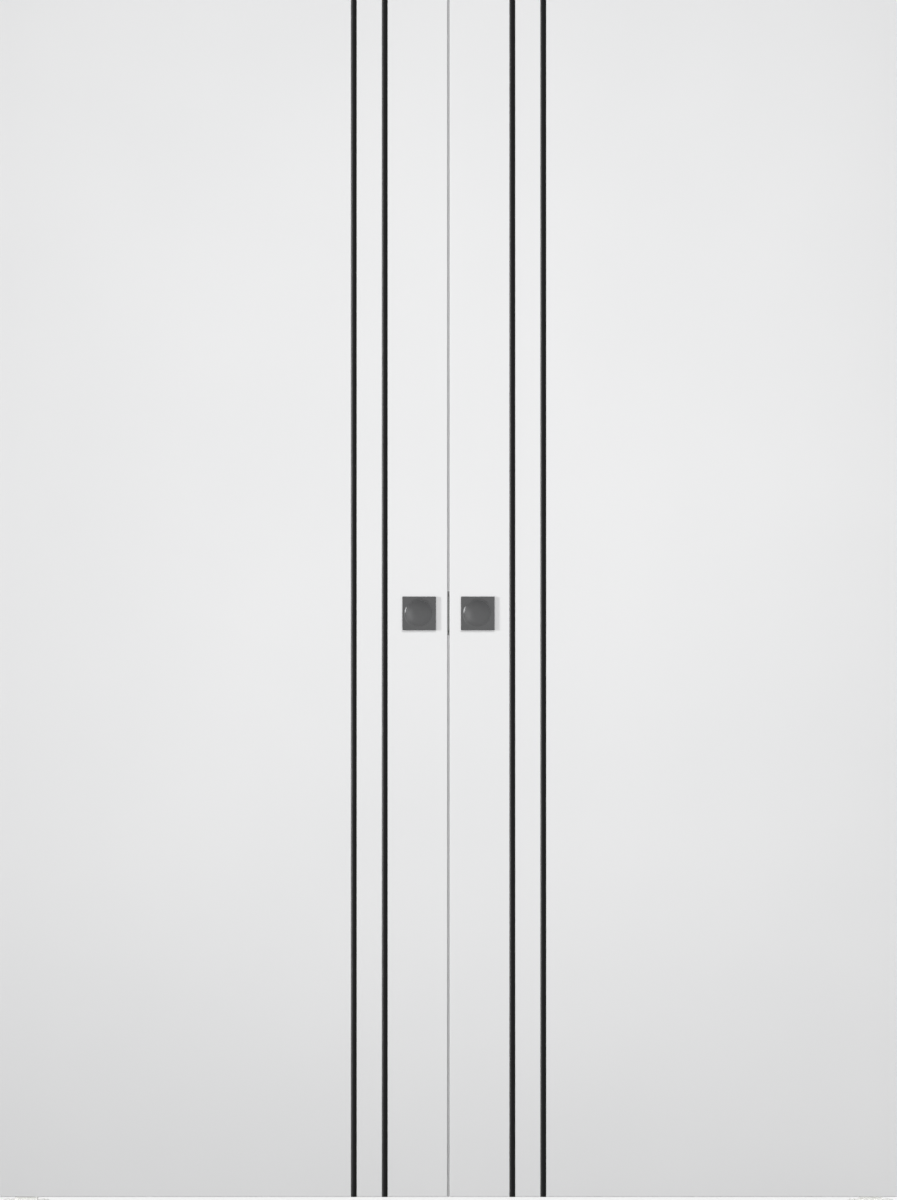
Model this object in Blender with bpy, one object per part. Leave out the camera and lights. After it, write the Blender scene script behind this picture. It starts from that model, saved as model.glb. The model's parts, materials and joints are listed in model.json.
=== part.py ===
"""A bi-parting double sliding door: two flush leaves hung in one plane from a single head track.

X runs along the opening, -Y is the front and Z is up. The origin is on the finished floor, on the meeting line of the
two leaves and at the middle of their thickness. All sizes are in metres.
"""

import math

import bmesh
import bpy

# Leaves
PAIR_WIDTH = 1.524  # both leaves with the gap between them
LEAF_HEIGHT = 2.032
LEAF_THICKNESS = 0.040
MEETING_GAP = 0.0034
FLOOR_CLEARANCE = 0.010
SKIN = 0.008
GLUE_LINE = 0.0002
ARRIS = 0.0010
MEETING_STILE = 0.095
OUTER_STILE = 0.045
TOP_RAIL = 0.070
BOTTOM_RAIL = 0.070
CORE_TUBE_RADIUS = 0.0095
CORE_TUBE_PITCH = 0.040
CORE_EDGE = 0.006  # least web between a tube and the edge of the core

# Inlaid strips, measured from the meeting edge of the leaf
STRIP_INSET = 0.1065
STRIP_SPACING = 0.0525
STRIP_WIDTH = 0.010
STRIP_DEPTH = 0.0032
STRIP_CROWN = 0.0013
STRIP_FIT = 0.00015

# Square pulls with a round dish
PULL_HEIGHT = 1.000  # centre above the floor
PULL_BACKSET = 0.048  # centre from the meeting edge of the leaf
PULL_SIDE = 0.057
PULL_PLATE = 0.0032
PULL_EDGE = 0.0006
DISH_RADIUS = 0.0245
DISH_DEPTH = 0.009
DISH_POWER = 2.6  # 2 would be a plain bowl, more flattens its floor
PULL_WALL = 0.0016
PULL_FIT = 0.0003
POST_RADIUS = 0.004
POST_SPACING = 0.026
POST_GAP = 0.002  # between the ends of the front and rear posts

# Edge pulls and seals on the meeting edges
EDGE_PULL_HEIGHT = 0.075
EDGE_PULL_WIDTH = 0.024
EDGE_PULL_LET_IN = 0.0012
GRIP_HEIGHT = 0.050
GRIP_WIDTH = 0.013
GRIP_DEPTH = 0.012
GRIP_WALL = 0.0015
EDGE_FIT = 0.0003
SEAL_WIDTH = 0.034
SEAL_TOUCH = 0.0003  # gap between the two leaves' seals when closed
SEAL_LEG = 0.003
SEAL_LEG_DEPTH = 0.006

# Hangers on the top edge of each leaf
HANGER_INSET = 0.060  # from either end of the leaf
SEAT_GAP = 0.0003
PLATE = 0.003
PLATE_LENGTH = 0.090
PLATE_DEPTH = 0.030
BRIDGE_LENGTH = 0.038
BRIDGE_RISE = 0.0115
BEND_RADIUS = 0.0016
PLATE_HOLE_RADIUS = 0.0024
PLATE_HOLE_INSET = 0.0105
PLATE_HOLE_SPACING = 0.016
BOLT_RADIUS = 0.004
BOLT_FIT = 0.0004
HEX_FLATS = 0.013
NUT_HEIGHT = 0.005
BOLT_HEAD = 0.005
BOLT_END_GAP = 0.0015
NUT_CLEARANCE = 0.004

# Trolleys and wheels
WHEEL_RADIUS = 0.0095  # floor of the tread groove
WHEEL_FLANGE = 0.0012
WHEEL_WIDTH = 0.008
TREAD_FLOOR = 0.002
AXLE_RADIUS = 0.0025
AXLE_STUB = 0.0005
AXLE_FIT = 0.0004
WHEEL_GAP = 0.0004  # wheel to trolley bar
RUN_GAP = 0.0003  # wheel to running bead
BAR_WIDTH = 0.010
BAR_HEIGHT = 0.011
BOSS_RADIUS = 0.009
BOSS_RISE = 0.0055  # above the axle line
BOSS_FLOOR_GAP = 0.0010
TROLLEY_GAP = 0.0023
TROLLEY_NOSE = 0.0023

# Head track
TRACK_WALL = 0.0024
TRACK_WEB = 0.0026
TRACK_LIP = 0.0026
TRACK_SLOT = 0.011
TRACK_CORNER = 0.0008
BEAD_WIDTH = 0.003
BEAD_HEIGHT = 0.0012
WHEEL_WALL_GAP = 0.0012
HEADROOM = 0.0012
TRACK_HOLE_RADIUS = 0.0026
TRACK_HOLE_HEAD = 0.0050
TRACK_HOLE_PITCH = 0.300
TRACK_HOLE_END = 0.100  # least distance of a hole from the track's end
TRACK_END_MARGIN = 0.054

# Stops in the track
PULL_REVEAL = 0.102  # part of a leaf left in the opening when it is open, so that its pull stays in reach
STOP_GAP = 0.0004
STOP_LENGTH = 0.036
STOP_FIT = 0.0003
STOP_EDGE = 0.0012
BUFFER_LENGTH = 0.012
BUFFER_RADIUS = 0.006
BUFFER_TIP_RADIUS = 0.0036
BUFFER_TIP = 0.0024  # length of the taper towards the tip
BUFFER_STEM = 0.003
BUFFER_STEM_LENGTH = 0.008

# Guide groove and floor guides
GROOVE_WIDTH = 0.006
GROOVE_DEPTH = 0.020
GUIDE_INSET = 0.045  # centre from the outer edge of the closed leaf
GUIDE_LENGTH = 0.076
GUIDE_WIDTH = 0.030
GUIDE_CORNER = 0.0075
GUIDE_BASE = 0.004
FIN_LENGTH = 0.040
FIN_FIT = 0.0006
FIN_TOP_GAP = 0.004
FIN_LEAD = 0.0012
GUIDE_HOLE_RADIUS = 0.0022

# Sides of the round shapes
WHEEL_SIDES = 16
BOSS_SIDES = 16
BOLT_SIDES = 12
HOLE_SIDES = 8
TUBE_SIDES = 8
DISH_SIDES = 32
DISH_RINGS = 5
ROUND_END_STEPS = 6
CROWN_STEPS = 6
BEAD_STEPS = 6
LIP_STEPS = 4
CORNER_STEPS = 3

# Sizes that follow from the ones above
leaf_width = (PAIR_WIDTH - MEETING_GAP) / 2
half_leaf = LEAF_THICKNESS / 2
frame_thickness = LEAF_THICKNESS - 2 * (SKIN + GLUE_LINE)
leaf_travel = PAIR_WIDTH / 2 - PULL_REVEAL
leaf_top = FLOOR_CLEARANCE + LEAF_HEIGHT
pull_rise = PULL_HEIGHT - FLOOR_CLEARANCE
cup_radius = DISH_RADIUS + PULL_WALL
cup_back = half_leaf + PULL_PLATE - DISH_DEPTH - PULL_WALL  # distance of the cup's back from the leaf's mid-plane
edge_stand = (MEETING_GAP - SEAL_TOUCH) / 2
head_gap = SEAT_GAP + BRIDGE_RISE + SEAT_GAP + NUT_HEIGHT + NUT_CLEARANCE
track_bottom = leaf_top + head_gap
lip_top = track_bottom + TRACK_LIP
axle_height = lip_top + BEAD_HEIGHT + RUN_GAP + WHEEL_RADIUS
wheel_rim = WHEEL_RADIUS + WHEEL_FLANGE
bolt_top = axle_height + BOSS_RISE + SEAT_GAP + BOLT_HEAD
track_ceiling = max(axle_height + wheel_rim, bolt_top) + HEADROOM
track_top = track_ceiling + TRACK_WEB
wheel_middle = BAR_WIDTH / 2 + WHEEL_GAP + WHEEL_WIDTH / 2
track_inner = wheel_middle + WHEEL_WIDTH / 2 + WHEEL_WALL_GAP
track_outer = track_inner + TRACK_WALL
axle_offset = BOSS_RADIUS + TROLLEY_GAP + wheel_rim
trolley_half = axle_offset + wheel_rim + TROLLEY_NOSE
centre_stop_half = MEETING_GAP / 2 + HANGER_INSET - trolley_half - STOP_GAP
buffer_face = PAIR_WIDTH / 2 - HANGER_INSET + trolley_half + leaf_travel + STOP_GAP
end_stop_start = buffer_face + BUFFER_LENGTH
track_half = end_stop_start + STOP_LENGTH + TRACK_END_MARGIN
guide_middle = PAIR_WIDTH / 2 - GUIDE_INSET

SIDES = {"left": -1, "right": 1}


def material(name, colour, roughness, metallic=0.0):
    made = bpy.data.materials.new(name)
    made.use_nodes = True
    made.diffuse_color = (*colour, 1.0)
    shader = made.node_tree.nodes["Principled BSDF"]
    shader.inputs["Base Color"].default_value = (*colour, 1.0)
    shader.inputs["Roughness"].default_value = roughness
    shader.inputs["Metallic"].default_value = metallic
    return made


def clear_scene():
    for old in list(bpy.data.objects):
        bpy.data.objects.remove(old)


def arc(centre, radius, start, end, steps):
    """Points on an arc, angles in degrees, both ends included."""
    angles = [math.radians(start + (end - start) * i / steps) for i in range(steps + 1)]
    return [(centre[0] + radius * math.cos(a), centre[1] + radius * math.sin(a)) for a in angles]


def circle(centre, radius, sides):
    return arc(centre, radius, 0, 360, sides)[:-1]


def rectangle(low, high):
    return [low, (high[0], low[1]), high, (low[0], high[1])]


def stadium(length, width, steps=ROUND_END_STEPS):
    """An upright slot shape with round ends, centred on the origin."""
    rise = (length - width) / 2
    return arc((0, rise), width / 2, 0, 180, steps) + arc((0, -rise), width / 2, 180, 360, steps)


def prism(axis, loops, start, end):
    """A flat outline, with holes where more loops follow it, drawn out along an axis from start to end."""
    place = {
        "X": lambda a, b: (start, a, b),
        "Y": lambda a, b: (a, start, b),
        "Z": lambda a, b: (a, b, start),
    }[axis]
    along = {"X": (1, 0, 0), "Y": (0, 1, 0), "Z": (0, 0, 1)}[axis]
    bm = bmesh.new()
    edges = []
    for loop in loops:
        verts = [bm.verts.new(place(*point)) for point in loop]
        edges += [bm.edges.new(pair) for pair in zip(verts, verts[1:] + verts[:1])]
    if len(loops) == 1:
        bm.faces.new(bm.verts[:])
    else:
        bmesh.ops.triangle_fill(bm, use_beauty=True, edges=edges)
    drawn = bmesh.ops.extrude_face_region(bm, geom=bm.faces[:])["geom"]
    moved = [item for item in drawn if isinstance(item, bmesh.types.BMVert)]
    bmesh.ops.translate(bm, verts=moved, vec=[step * (end - start) for step in along])
    bmesh.ops.recalc_face_normals(bm, faces=bm.faces[:])
    return bm


def block(low, high):
    return prism("Z", [rectangle(low[:2], high[:2])], low[2], high[2])


def turned(profile, sides):
    """A solid of revolution about Z. The profile runs as (height, radius) from one end to the other."""
    bm = bmesh.new()
    verts = [bm.verts.new((radius, 0, height)) for height, radius in profile]
    edges = [bm.edges.new(pair) for pair in zip(verts, verts[1:])]
    bmesh.ops.spin(
        bm,
        geom=verts + edges,
        axis=(0, 0, 1),
        cent=(0, 0, 0),
        angle=2 * math.pi,
        steps=sides,
        use_merge=True,
    )
    bmesh.ops.remove_doubles(bm, verts=bm.verts[:], dist=1e-6)
    bmesh.ops.recalc_face_normals(bm, faces=bm.faces[:])
    return bm


def bevel(bm, edges, width, segments):
    bmesh.ops.bevel(
        bm, geom=edges, offset=width, offset_type="OFFSET", segments=segments, profile=0.5, affect="EDGES"
    )


def joined(*solids):
    """Several shapes in one mesh, still separate bodies."""
    first = solids[0]
    for other in solids[1:]:
        mesh = bpy.data.meshes.new("joined")
        other.to_mesh(mesh)
        first.from_mesh(mesh)
        other.free()
        bpy.data.meshes.remove(mesh)
    return first


def moved(bm, offset):
    bmesh.ops.translate(bm, verts=bm.verts[:], vec=offset)
    return bm


def mirrored(bm, axis):
    """The same shape seen in a mirror across the origin, its faces still pointing out."""
    factors = [1, 1, 1]
    factors["XYZ".index(axis)] = -1
    bmesh.ops.scale(bm, verts=bm.verts[:], vec=factors)
    bmesh.ops.reverse_faces(bm, faces=bm.faces[:])
    return bm


def laid_along_y(bm):
    """Turns a shape that was made about Z so that its axis lies along Y."""
    for vert in bm.verts:
        vert.co = (vert.co.x, vert.co.z, -vert.co.y)
    return bm


def laid_along_x(bm):
    """Turns a shape that was made about Z so that its axis lies along X."""
    for vert in bm.verts:
        vert.co = (vert.co.z, vert.co.y, -vert.co.x)
    return bm


def add(name, bm, finish, parent=None, location=(0, 0, 0), smooth_angle=None):
    mesh = bpy.data.meshes.new(name)
    bm.to_mesh(mesh)
    bm.free()
    mesh.materials.append(finish)
    if smooth_angle is not None:
        mesh.shade_smooth()
        mesh.set_sharp_from_angle(angle=math.radians(smooth_angle))
    obj = bpy.data.objects.new(name, mesh)
    bpy.context.scene.collection.objects.link(obj)
    obj.parent = parent
    obj.location = location
    return obj


def add_tool(name, bm, parent=None, location=(0, 0, 0)):
    """A hidden shape that a Boolean uses."""
    mesh = bpy.data.meshes.new(name)
    bm.to_mesh(mesh)
    bm.free()
    obj = bpy.data.objects.new(name, mesh)
    bpy.context.scene.collection.objects.link(obj)
    obj.parent = parent
    obj.location = location
    obj.hide_render = True
    obj.display_type = "WIRE"
    return obj


def combine(target, tool, operation):
    modifier = target.modifiers.new(tool.name, "BOOLEAN")
    modifier.operation = operation
    modifier.solver = "EXACT"
    modifier.object = tool


def add_empty(name, location):
    empty = bpy.data.objects.new(name, None)
    empty.location = location
    bpy.context.scene.collection.objects.link(empty)
    return empty


def track_section():
    """The track's C section in Y and Z, open along the bottom, with a running bead on each lip."""
    corner = TRACK_CORNER
    bead = [
        (wheel_middle + BEAD_WIDTH / 2 * math.cos(a), lip_top + BEAD_HEIGHT * math.sin(a))
        for a in [math.pi * i / BEAD_STEPS for i in range(BEAD_STEPS + 1)]
    ]
    outside = [
        (TRACK_SLOT / 2, track_bottom),
        (track_outer - corner, track_bottom),
        (track_outer, track_bottom + corner),
        (track_outer, track_top - corner),
        (track_outer - corner, track_top),
    ]
    inside = [(track_inner, track_ceiling), (track_inner, lip_top), *bead, (TRACK_SLOT / 2, lip_top)]
    flip = [(-y, z) for y, z in reversed(outside)]
    flip_inside = [(-y, z) for y, z in reversed(inside)]
    return outside + flip + flip_inside + inside


def track_hole_places():
    """An even number of holes, so that none falls over the centre stop."""
    reach = track_half - TRACK_HOLE_END
    count = math.floor(2 * reach / TRACK_HOLE_PITCH) + 1
    count -= count % 2
    first = -(count - 1) * TRACK_HOLE_PITCH / 2
    return [first + i * TRACK_HOLE_PITCH for i in range(count)]


def add_track(finish):
    track = add("track_rail", prism("X", [track_section()], -track_half, track_half), finish)
    sink = TRACK_HOLE_HEAD - TRACK_HOLE_RADIUS
    web_middle = track_ceiling + TRACK_WEB / 2
    past = TRACK_WEB  # how far the drill shape reaches past both faces
    profile = [
        (track_ceiling - past, 0),
        (track_ceiling - past, TRACK_HOLE_HEAD + past),
        (min(track_ceiling + sink, web_middle), TRACK_HOLE_RADIUS),
        (track_top + past, TRACK_HOLE_RADIUS),
        (track_top + past, 0),
    ]
    drills = [moved(turned(profile, HOLE_SIDES), (x, 0, 0)) for x in track_hole_places()]
    combine(track, add_tool("track_drills", joined(*drills)), "DIFFERENCE")


def stop_section():
    """A block that fills the channel above the beads, with a tongue down into the slot."""
    wide = track_inner - STOP_FIT
    low = lip_top + BEAD_HEIGHT + STOP_FIT
    high = track_ceiling - STOP_FIT
    tongue = TRACK_SLOT / 2 - STOP_FIT
    return [
        (-tongue, track_bottom),
        (tongue, track_bottom),
        (tongue, low),
        (wide, low),
        (wide, high),
        (-wide, high),
        (-wide, low),
        (-tongue, low),
    ]


def add_stops(block_finish, rubber):
    centre = prism("X", [stop_section()], -centre_stop_half, centre_stop_half)
    ends = [e for e in centre.edges if abs(e.verts[0].co.x - e.verts[1].co.x) < 1e-9]
    bevel(centre, ends, STOP_EDGE, 1)
    add("centre_stop", centre, rubber)
    for side, sign in SIDES.items():
        body = prism("X", [stop_section()], end_stop_start, end_stop_start + STOP_LENGTH)
        stem_hole = laid_along_x(
            turned(
                [
                    (-STOP_LENGTH, 0),
                    (-STOP_LENGTH, BUFFER_STEM + STOP_FIT),
                    (BUFFER_STEM_LENGTH + STOP_FIT, BUFFER_STEM + STOP_FIT),
                    (BUFFER_STEM_LENGTH + STOP_FIT, 0),
                ],
                BOLT_SIDES,
            )
        )
        buffer = laid_along_x(
            turned(
                [
                    (-BUFFER_LENGTH, 0),
                    (-BUFFER_LENGTH, BUFFER_TIP_RADIUS),
                    (-BUFFER_LENGTH + BUFFER_TIP, BUFFER_RADIUS),
                    (-STOP_FIT, BUFFER_RADIUS),
                    (-STOP_FIT, BUFFER_STEM),
                    (BUFFER_STEM_LENGTH, BUFFER_STEM),
                    (BUFFER_STEM_LENGTH, 0),
                ],
                BOLT_SIDES,
            )
        )
        seat = (end_stop_start, 0, axle_height)
        moved(stem_hole, seat)
        moved(buffer, seat)
        if sign < 0:
            body, stem_hole, buffer = (mirrored(shape, "X") for shape in (body, stem_hole, buffer))
        stop = add(f"{side}_end_stop", body, block_finish)
        combine(stop, add_tool(f"{side}_stem_hole", stem_hole), "DIFFERENCE")
        add(f"{side}_end_buffer", buffer, rubber, smooth_angle=40)


def add_floor_guide(side, sign, finish):
    """A base plate screwed to the floor, with a fin that runs in the groove under the leaf."""
    hole_reach = (GUIDE_LENGTH + FIN_LENGTH) / 4
    span = (GUIDE_LENGTH / 2 - GUIDE_CORNER, GUIDE_WIDTH / 2 - GUIDE_CORNER)
    outline = []
    for quarter, (x, y) in enumerate([(1, 1), (-1, 1), (-1, -1), (1, -1)]):
        turn = 90 * quarter
        outline += arc((x * span[0], y * span[1]), GUIDE_CORNER, turn, turn + 90, CORNER_STEPS)
    holes = [circle((x * hole_reach, 0), GUIDE_HOLE_RADIUS, HOLE_SIDES) for x in (-1, 1)]
    base = prism("Z", [outline, *holes], 0, GUIDE_BASE)
    thick = GROOVE_WIDTH - 2 * FIN_FIT
    fin_top = FLOOR_CLEARANCE + GROOVE_DEPTH - FIN_TOP_GAP
    footprint = [(y, x) for x, y in stadium(FIN_LENGTH, thick)]
    fin = prism("Z", [footprint], GUIDE_BASE / 2, fin_top)
    top_edges = [e for e in fin.edges if all(abs(v.co.z - fin_top) < 1e-7 for v in e.verts)]
    bevel(fin, top_edges, FIN_LEAD, 1)
    place = (sign * guide_middle, 0, 0)
    guide = add(f"{side}_floor_guide", base, finish, location=place)
    combine(guide, add_tool(f"{side}_guide_fin", fin, location=place), "UNION")


def skin_shape():
    """The front skin: its outer face is at -Y and its outer edges are eased."""
    bm = block((0, -half_leaf, 0), (leaf_width, -half_leaf + SKIN, LEAF_HEIGHT))
    face_edges = [e for e in bm.edges if all(abs(v.co.y + half_leaf) < 1e-7 for v in e.verts)]
    bevel(bm, face_edges, ARRIS, 2)
    return bm


def strip_places():
    return {"inner": STRIP_INSET, "outer": STRIP_INSET + STRIP_SPACING}


def strip_grooves():
    """Both grooves in the front skin, longer than the leaf."""
    half = STRIP_WIDTH / 2
    return joined(
        *(
            block(
                (middle - half, -half_leaf - STRIP_DEPTH, -STRIP_DEPTH),
                (middle + half, -half_leaf + STRIP_DEPTH, LEAF_HEIGHT + STRIP_DEPTH),
            )
            for middle in strip_places().values()
        )
    )


def strip_shape(middle):
    """A crowned strip that lies in its groove and stands a little proud of the skin."""
    half = STRIP_WIDTH / 2 - STRIP_FIT
    radius = (half**2 + STRIP_CROWN**2) / (2 * STRIP_CROWN)
    reach = math.degrees(math.asin(half / radius))
    crown = arc((middle, -half_leaf + radius - STRIP_CROWN), radius, 270 - reach, 270 + reach, CROWN_STEPS)
    floor = -half_leaf + STRIP_DEPTH - STRIP_FIT
    return prism("Z", [[*crown, (middle + half, floor), (middle - half, floor)]], 0, LEAF_HEIGHT)


def pull_pocket(fit):
    """The round pocket for a front pull, through the skin and on to just behind the cup."""
    outline = circle((PULL_BACKSET, pull_rise), cup_radius + fit, DISH_SIDES)
    skin_back = -half_leaf + SKIN + GLUE_LINE / 2
    return prism("Y", [outline], -half_leaf - PULL_PLATE, max(-cup_back + fit, skin_back))


def post_holes():
    holes = []
    for sign in (-1, 1):
        outline = circle(
            (PULL_BACKSET, pull_rise + sign * POST_SPACING / 2), POST_RADIUS + PULL_FIT, BOLT_SIDES
        )
        holes.append(prism("Y", [outline], -half_leaf, half_leaf))
    return joined(*holes)


def pull_plate():
    half = PULL_SIDE / 2
    face = -half_leaf - PULL_PLATE
    bm = block(
        (PULL_BACKSET - half, face, pull_rise - half),
        (PULL_BACKSET + half, -half_leaf - GLUE_LINE, pull_rise + half),
    )
    rim = [e for e in bm.edges if any(abs(v.co.y - face) < 1e-7 for v in e.verts)]
    bevel(bm, rim, PULL_EDGE, 2)
    return bm


def pull_cup():
    """The cup behind a front pull's plate."""
    outline = circle((PULL_BACKSET, pull_rise), cup_radius, DISH_SIDES)
    return prism("Y", [outline], -half_leaf - PULL_PLATE / 2, -cup_back)


def pull_posts():
    """The two posts that meet those of the rear pull inside the stile."""
    posts = []
    for sign in (-1, 1):
        outline = circle((PULL_BACKSET, pull_rise + sign * POST_SPACING / 2), POST_RADIUS, BOLT_SIDES)
        posts.append(prism("Y", [outline], -cup_back - PULL_WALL / 2, -POST_GAP / 2))
    return joined(*posts)


def pull_dish():
    """The bowl that fingers go into, steepest at its rim, with an eased edge where it meets the plate."""
    face = -half_leaf - PULL_PLATE
    rim = face + PULL_EDGE
    profile = [(face - PULL_PLATE, 0), (face - PULL_PLATE, DISH_RADIUS + PULL_EDGE + PULL_PLATE)]
    for ring in range(DISH_RINGS + 1):
        share = math.cos(math.pi / 2 * ring / DISH_RINGS)
        depth = (DISH_DEPTH - PULL_EDGE) * (1 - share**DISH_POWER)
        profile.append((rim + depth, DISH_RADIUS * share))
    profile[-1] = (face + DISH_DEPTH, 0)
    return moved(laid_along_y(turned(profile, DISH_SIDES)), (PULL_BACKSET, 0, pull_rise))


def edge_pull_body(fit):
    """Plate and grip box of an edge pull as two shapes, grown by fit to make the mortise that holds them."""
    plate_outline = [(y, pull_rise + z) for y, z in rectangle_about(EDGE_PULL_WIDTH, EDGE_PULL_HEIGHT, fit)]
    box_outline = [
        (y, pull_rise + z)
        for y, z in stadium(GRIP_HEIGHT + 2 * (GRIP_WALL + fit), GRIP_WIDTH + 2 * (GRIP_WALL + fit))
    ]
    plate = prism("X", [plate_outline], -edge_stand, EDGE_PULL_LET_IN + fit)
    box = prism("X", [box_outline], -edge_stand / 2, GRIP_DEPTH - edge_stand + GRIP_WALL + fit)
    return plate, box


def rectangle_about(width, height, fit):
    return rectangle((-width / 2 - fit, -height / 2 - fit), (width / 2 + fit, height / 2 + fit))


def grip_hollow():
    outline = [(y, pull_rise + z) for y, z in stadium(GRIP_HEIGHT, GRIP_WIDTH)]
    return prism("X", [outline], -edge_stand - GRIP_WALL, GRIP_DEPTH - edge_stand)


def seal_shape(low, high):
    """A buffer strip on the meeting edge, with rounded lips and a leg pushed into the kerf."""
    back = -GLUE_LINE
    radius = (edge_stand - GLUE_LINE) / 2
    reach = SEAL_WIDTH / 2 - radius
    middle = back - radius
    front_lip = arc((middle, -reach), radius, 180, 360, LIP_STEPS)
    rear_lip = arc((middle, reach), radius, 0, 180, LIP_STEPS)
    leg = [
        (back, -SEAL_LEG / 2),
        (SEAL_LEG_DEPTH, -SEAL_LEG / 2),
        (SEAL_LEG_DEPTH, SEAL_LEG / 2),
        (back, SEAL_LEG / 2),
    ]
    return prism("Z", [[*front_lip, *leg, *rear_lip]], low, high)


def kerf():
    half = SEAL_LEG / 2 + EDGE_FIT
    return block((-SEAL_LEG, -half, -SEAL_LEG), (SEAL_LEG_DEPTH + EDGE_FIT, half, LEAF_HEIGHT + SEAL_LEG))


def guide_groove():
    half = GROOVE_WIDTH / 2
    return block((-GROOVE_WIDTH, -half, -GROOVE_WIDTH), (leaf_width + GROOVE_WIDTH, half, GROOVE_DEPTH))


def core_shape(low, high):
    """A tubular core: a slab with a row of open tubes running up it."""
    half = frame_thickness / 2
    room = high[0] - low[0] - 2 * (CORE_TUBE_RADIUS + CORE_EDGE)
    count = math.floor(room / CORE_TUBE_PITCH) + 1
    middle = (low[0] + high[0]) / 2
    places = [middle + (i - (count - 1) / 2) * CORE_TUBE_PITCH for i in range(count)]
    tubes = [circle((x, 0), CORE_TUBE_RADIUS, TUBE_SIDES) for x in places]
    return prism("Z", [rectangle((low[0], -half), (high[0], half)), *tubes], low[1], high[1])


def hanger_plate_shape():
    """A folded steel strap: two flanges on the leaf and a raised bridge that the bolt hangs from."""
    end, bridge = PLATE_LENGTH / 2, BRIDGE_LENGTH / 2
    outline = [
        (-end, 0),
        (-bridge + PLATE, 0),
        (-bridge + PLATE, BRIDGE_RISE - PLATE),
        (bridge - PLATE, BRIDGE_RISE - PLATE),
        (bridge - PLATE, 0),
        (end, 0),
        (end, PLATE),
        (bridge, PLATE),
        (bridge, BRIDGE_RISE),
        (-bridge, BRIDGE_RISE),
        (-bridge, PLATE),
        (-end, PLATE),
    ]
    bm = prism("Y", [outline], -PLATE_DEPTH / 2, PLATE_DEPTH / 2)
    tops = [
        e
        for e in bm.edges
        if abs(e.verts[0].co.y - e.verts[1].co.y) > PLATE
        and all(abs(abs(v.co.x) - bridge) < 1e-7 and abs(v.co.z - BRIDGE_RISE) < 1e-7 for v in e.verts)
    ]
    bevel(bm, tops, BEND_RADIUS, 2)
    return bm


def hanger_plate_cuts():
    """The side entry slot for the bolt in the bridge, and the screw holes in the flanges."""
    radius = BOLT_RADIUS + BOLT_FIT
    slot_outline = [
        *arc((0, 0), radius, 0, 180, ROUND_END_STEPS),
        (-radius, -PLATE_DEPTH),
        (radius, -PLATE_DEPTH),
    ]
    cuts = [prism("Z", [slot_outline], BRIDGE_RISE - 1.5 * PLATE, BRIDGE_RISE + PLATE)]
    for x in (-1, 1):
        for y in (-1, 1):
            place = (x * (PLATE_LENGTH / 2 - PLATE_HOLE_INSET), y * PLATE_HOLE_SPACING / 2)
            outline = circle(place, PLATE_HOLE_RADIUS, HOLE_SIDES)
            cuts.append(prism("Z", [outline], -PLATE, 2 * PLATE))
    return joined(*cuts)


def hexagon():
    return circle((0, 0), HEX_FLATS / math.sqrt(3), 6)


def bolt_shank(seat):
    """The shank from just above the leaf to its head in the trolley, heights measured from the leaf's top edge."""
    return prism("Z", [circle((0, 0), BOLT_RADIUS, BOLT_SIDES)], BOLT_END_GAP, seat + BOLT_HEAD / 2)


def bolt_hexes(seat):
    """The head over the trolley, the locknut over the bridge and the nut under it."""
    bridge_top = SEAT_GAP + BRIDGE_RISE
    bridge_under = bridge_top - PLATE
    low_nut = min(NUT_HEIGHT, bridge_under - SEAT_GAP - BOLT_END_GAP - SEAT_GAP)
    return joined(
        prism("Z", [hexagon()], seat, seat + BOLT_HEAD),
        prism("Z", [hexagon()], bridge_top + SEAT_GAP, bridge_top + SEAT_GAP + NUT_HEIGHT),
        prism("Z", [hexagon()], bridge_under - SEAT_GAP - low_nut, bridge_under - SEAT_GAP),
    )


def trolley_bar():
    """The bar between the wheels, with an axle bore near each end. The origin is on the axle line."""
    outline = [(z, x) for x, z in stadium(2 * trolley_half, BAR_HEIGHT)]
    bores = [circle((x, 0), AXLE_RADIUS + AXLE_FIT, BOLT_SIDES) for x in (-axle_offset, axle_offset)]
    return prism("Y", [outline, *bores], -BAR_WIDTH / 2, BAR_WIDTH / 2)


def trolley_boss():
    low = lip_top + BEAD_HEIGHT + BOSS_FLOOR_GAP - axle_height
    return prism("Z", [circle((0, 0), BOSS_RADIUS, BOSS_SIDES)], low, BOSS_RISE)


def trolley_bore():
    return prism("Z", [circle((0, 0), BOLT_RADIUS + BOLT_FIT, BOLT_SIDES)], -wheel_rim * 2, wheel_rim * 2)


def wheelset_shape():
    """Two grooved wheels on one axle, turned about the axle's middle."""
    inner = wheel_middle - WHEEL_WIDTH / 2
    outer = wheel_middle + WHEEL_WIDTH / 2
    half = [
        (outer + AXLE_STUB, 0),
        (outer + AXLE_STUB, AXLE_RADIUS),
        (outer, AXLE_RADIUS),
        (outer, wheel_rim),
        (wheel_middle + TREAD_FLOOR / 2, WHEEL_RADIUS),
        (wheel_middle - TREAD_FLOOR / 2, WHEEL_RADIUS),
        (inner, wheel_rim),
        (inner, AXLE_RADIUS),
    ]
    profile = [(-along, radius) for along, radius in half] + half[::-1]
    return laid_along_y(turned(profile, WHEEL_SIDES))


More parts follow.
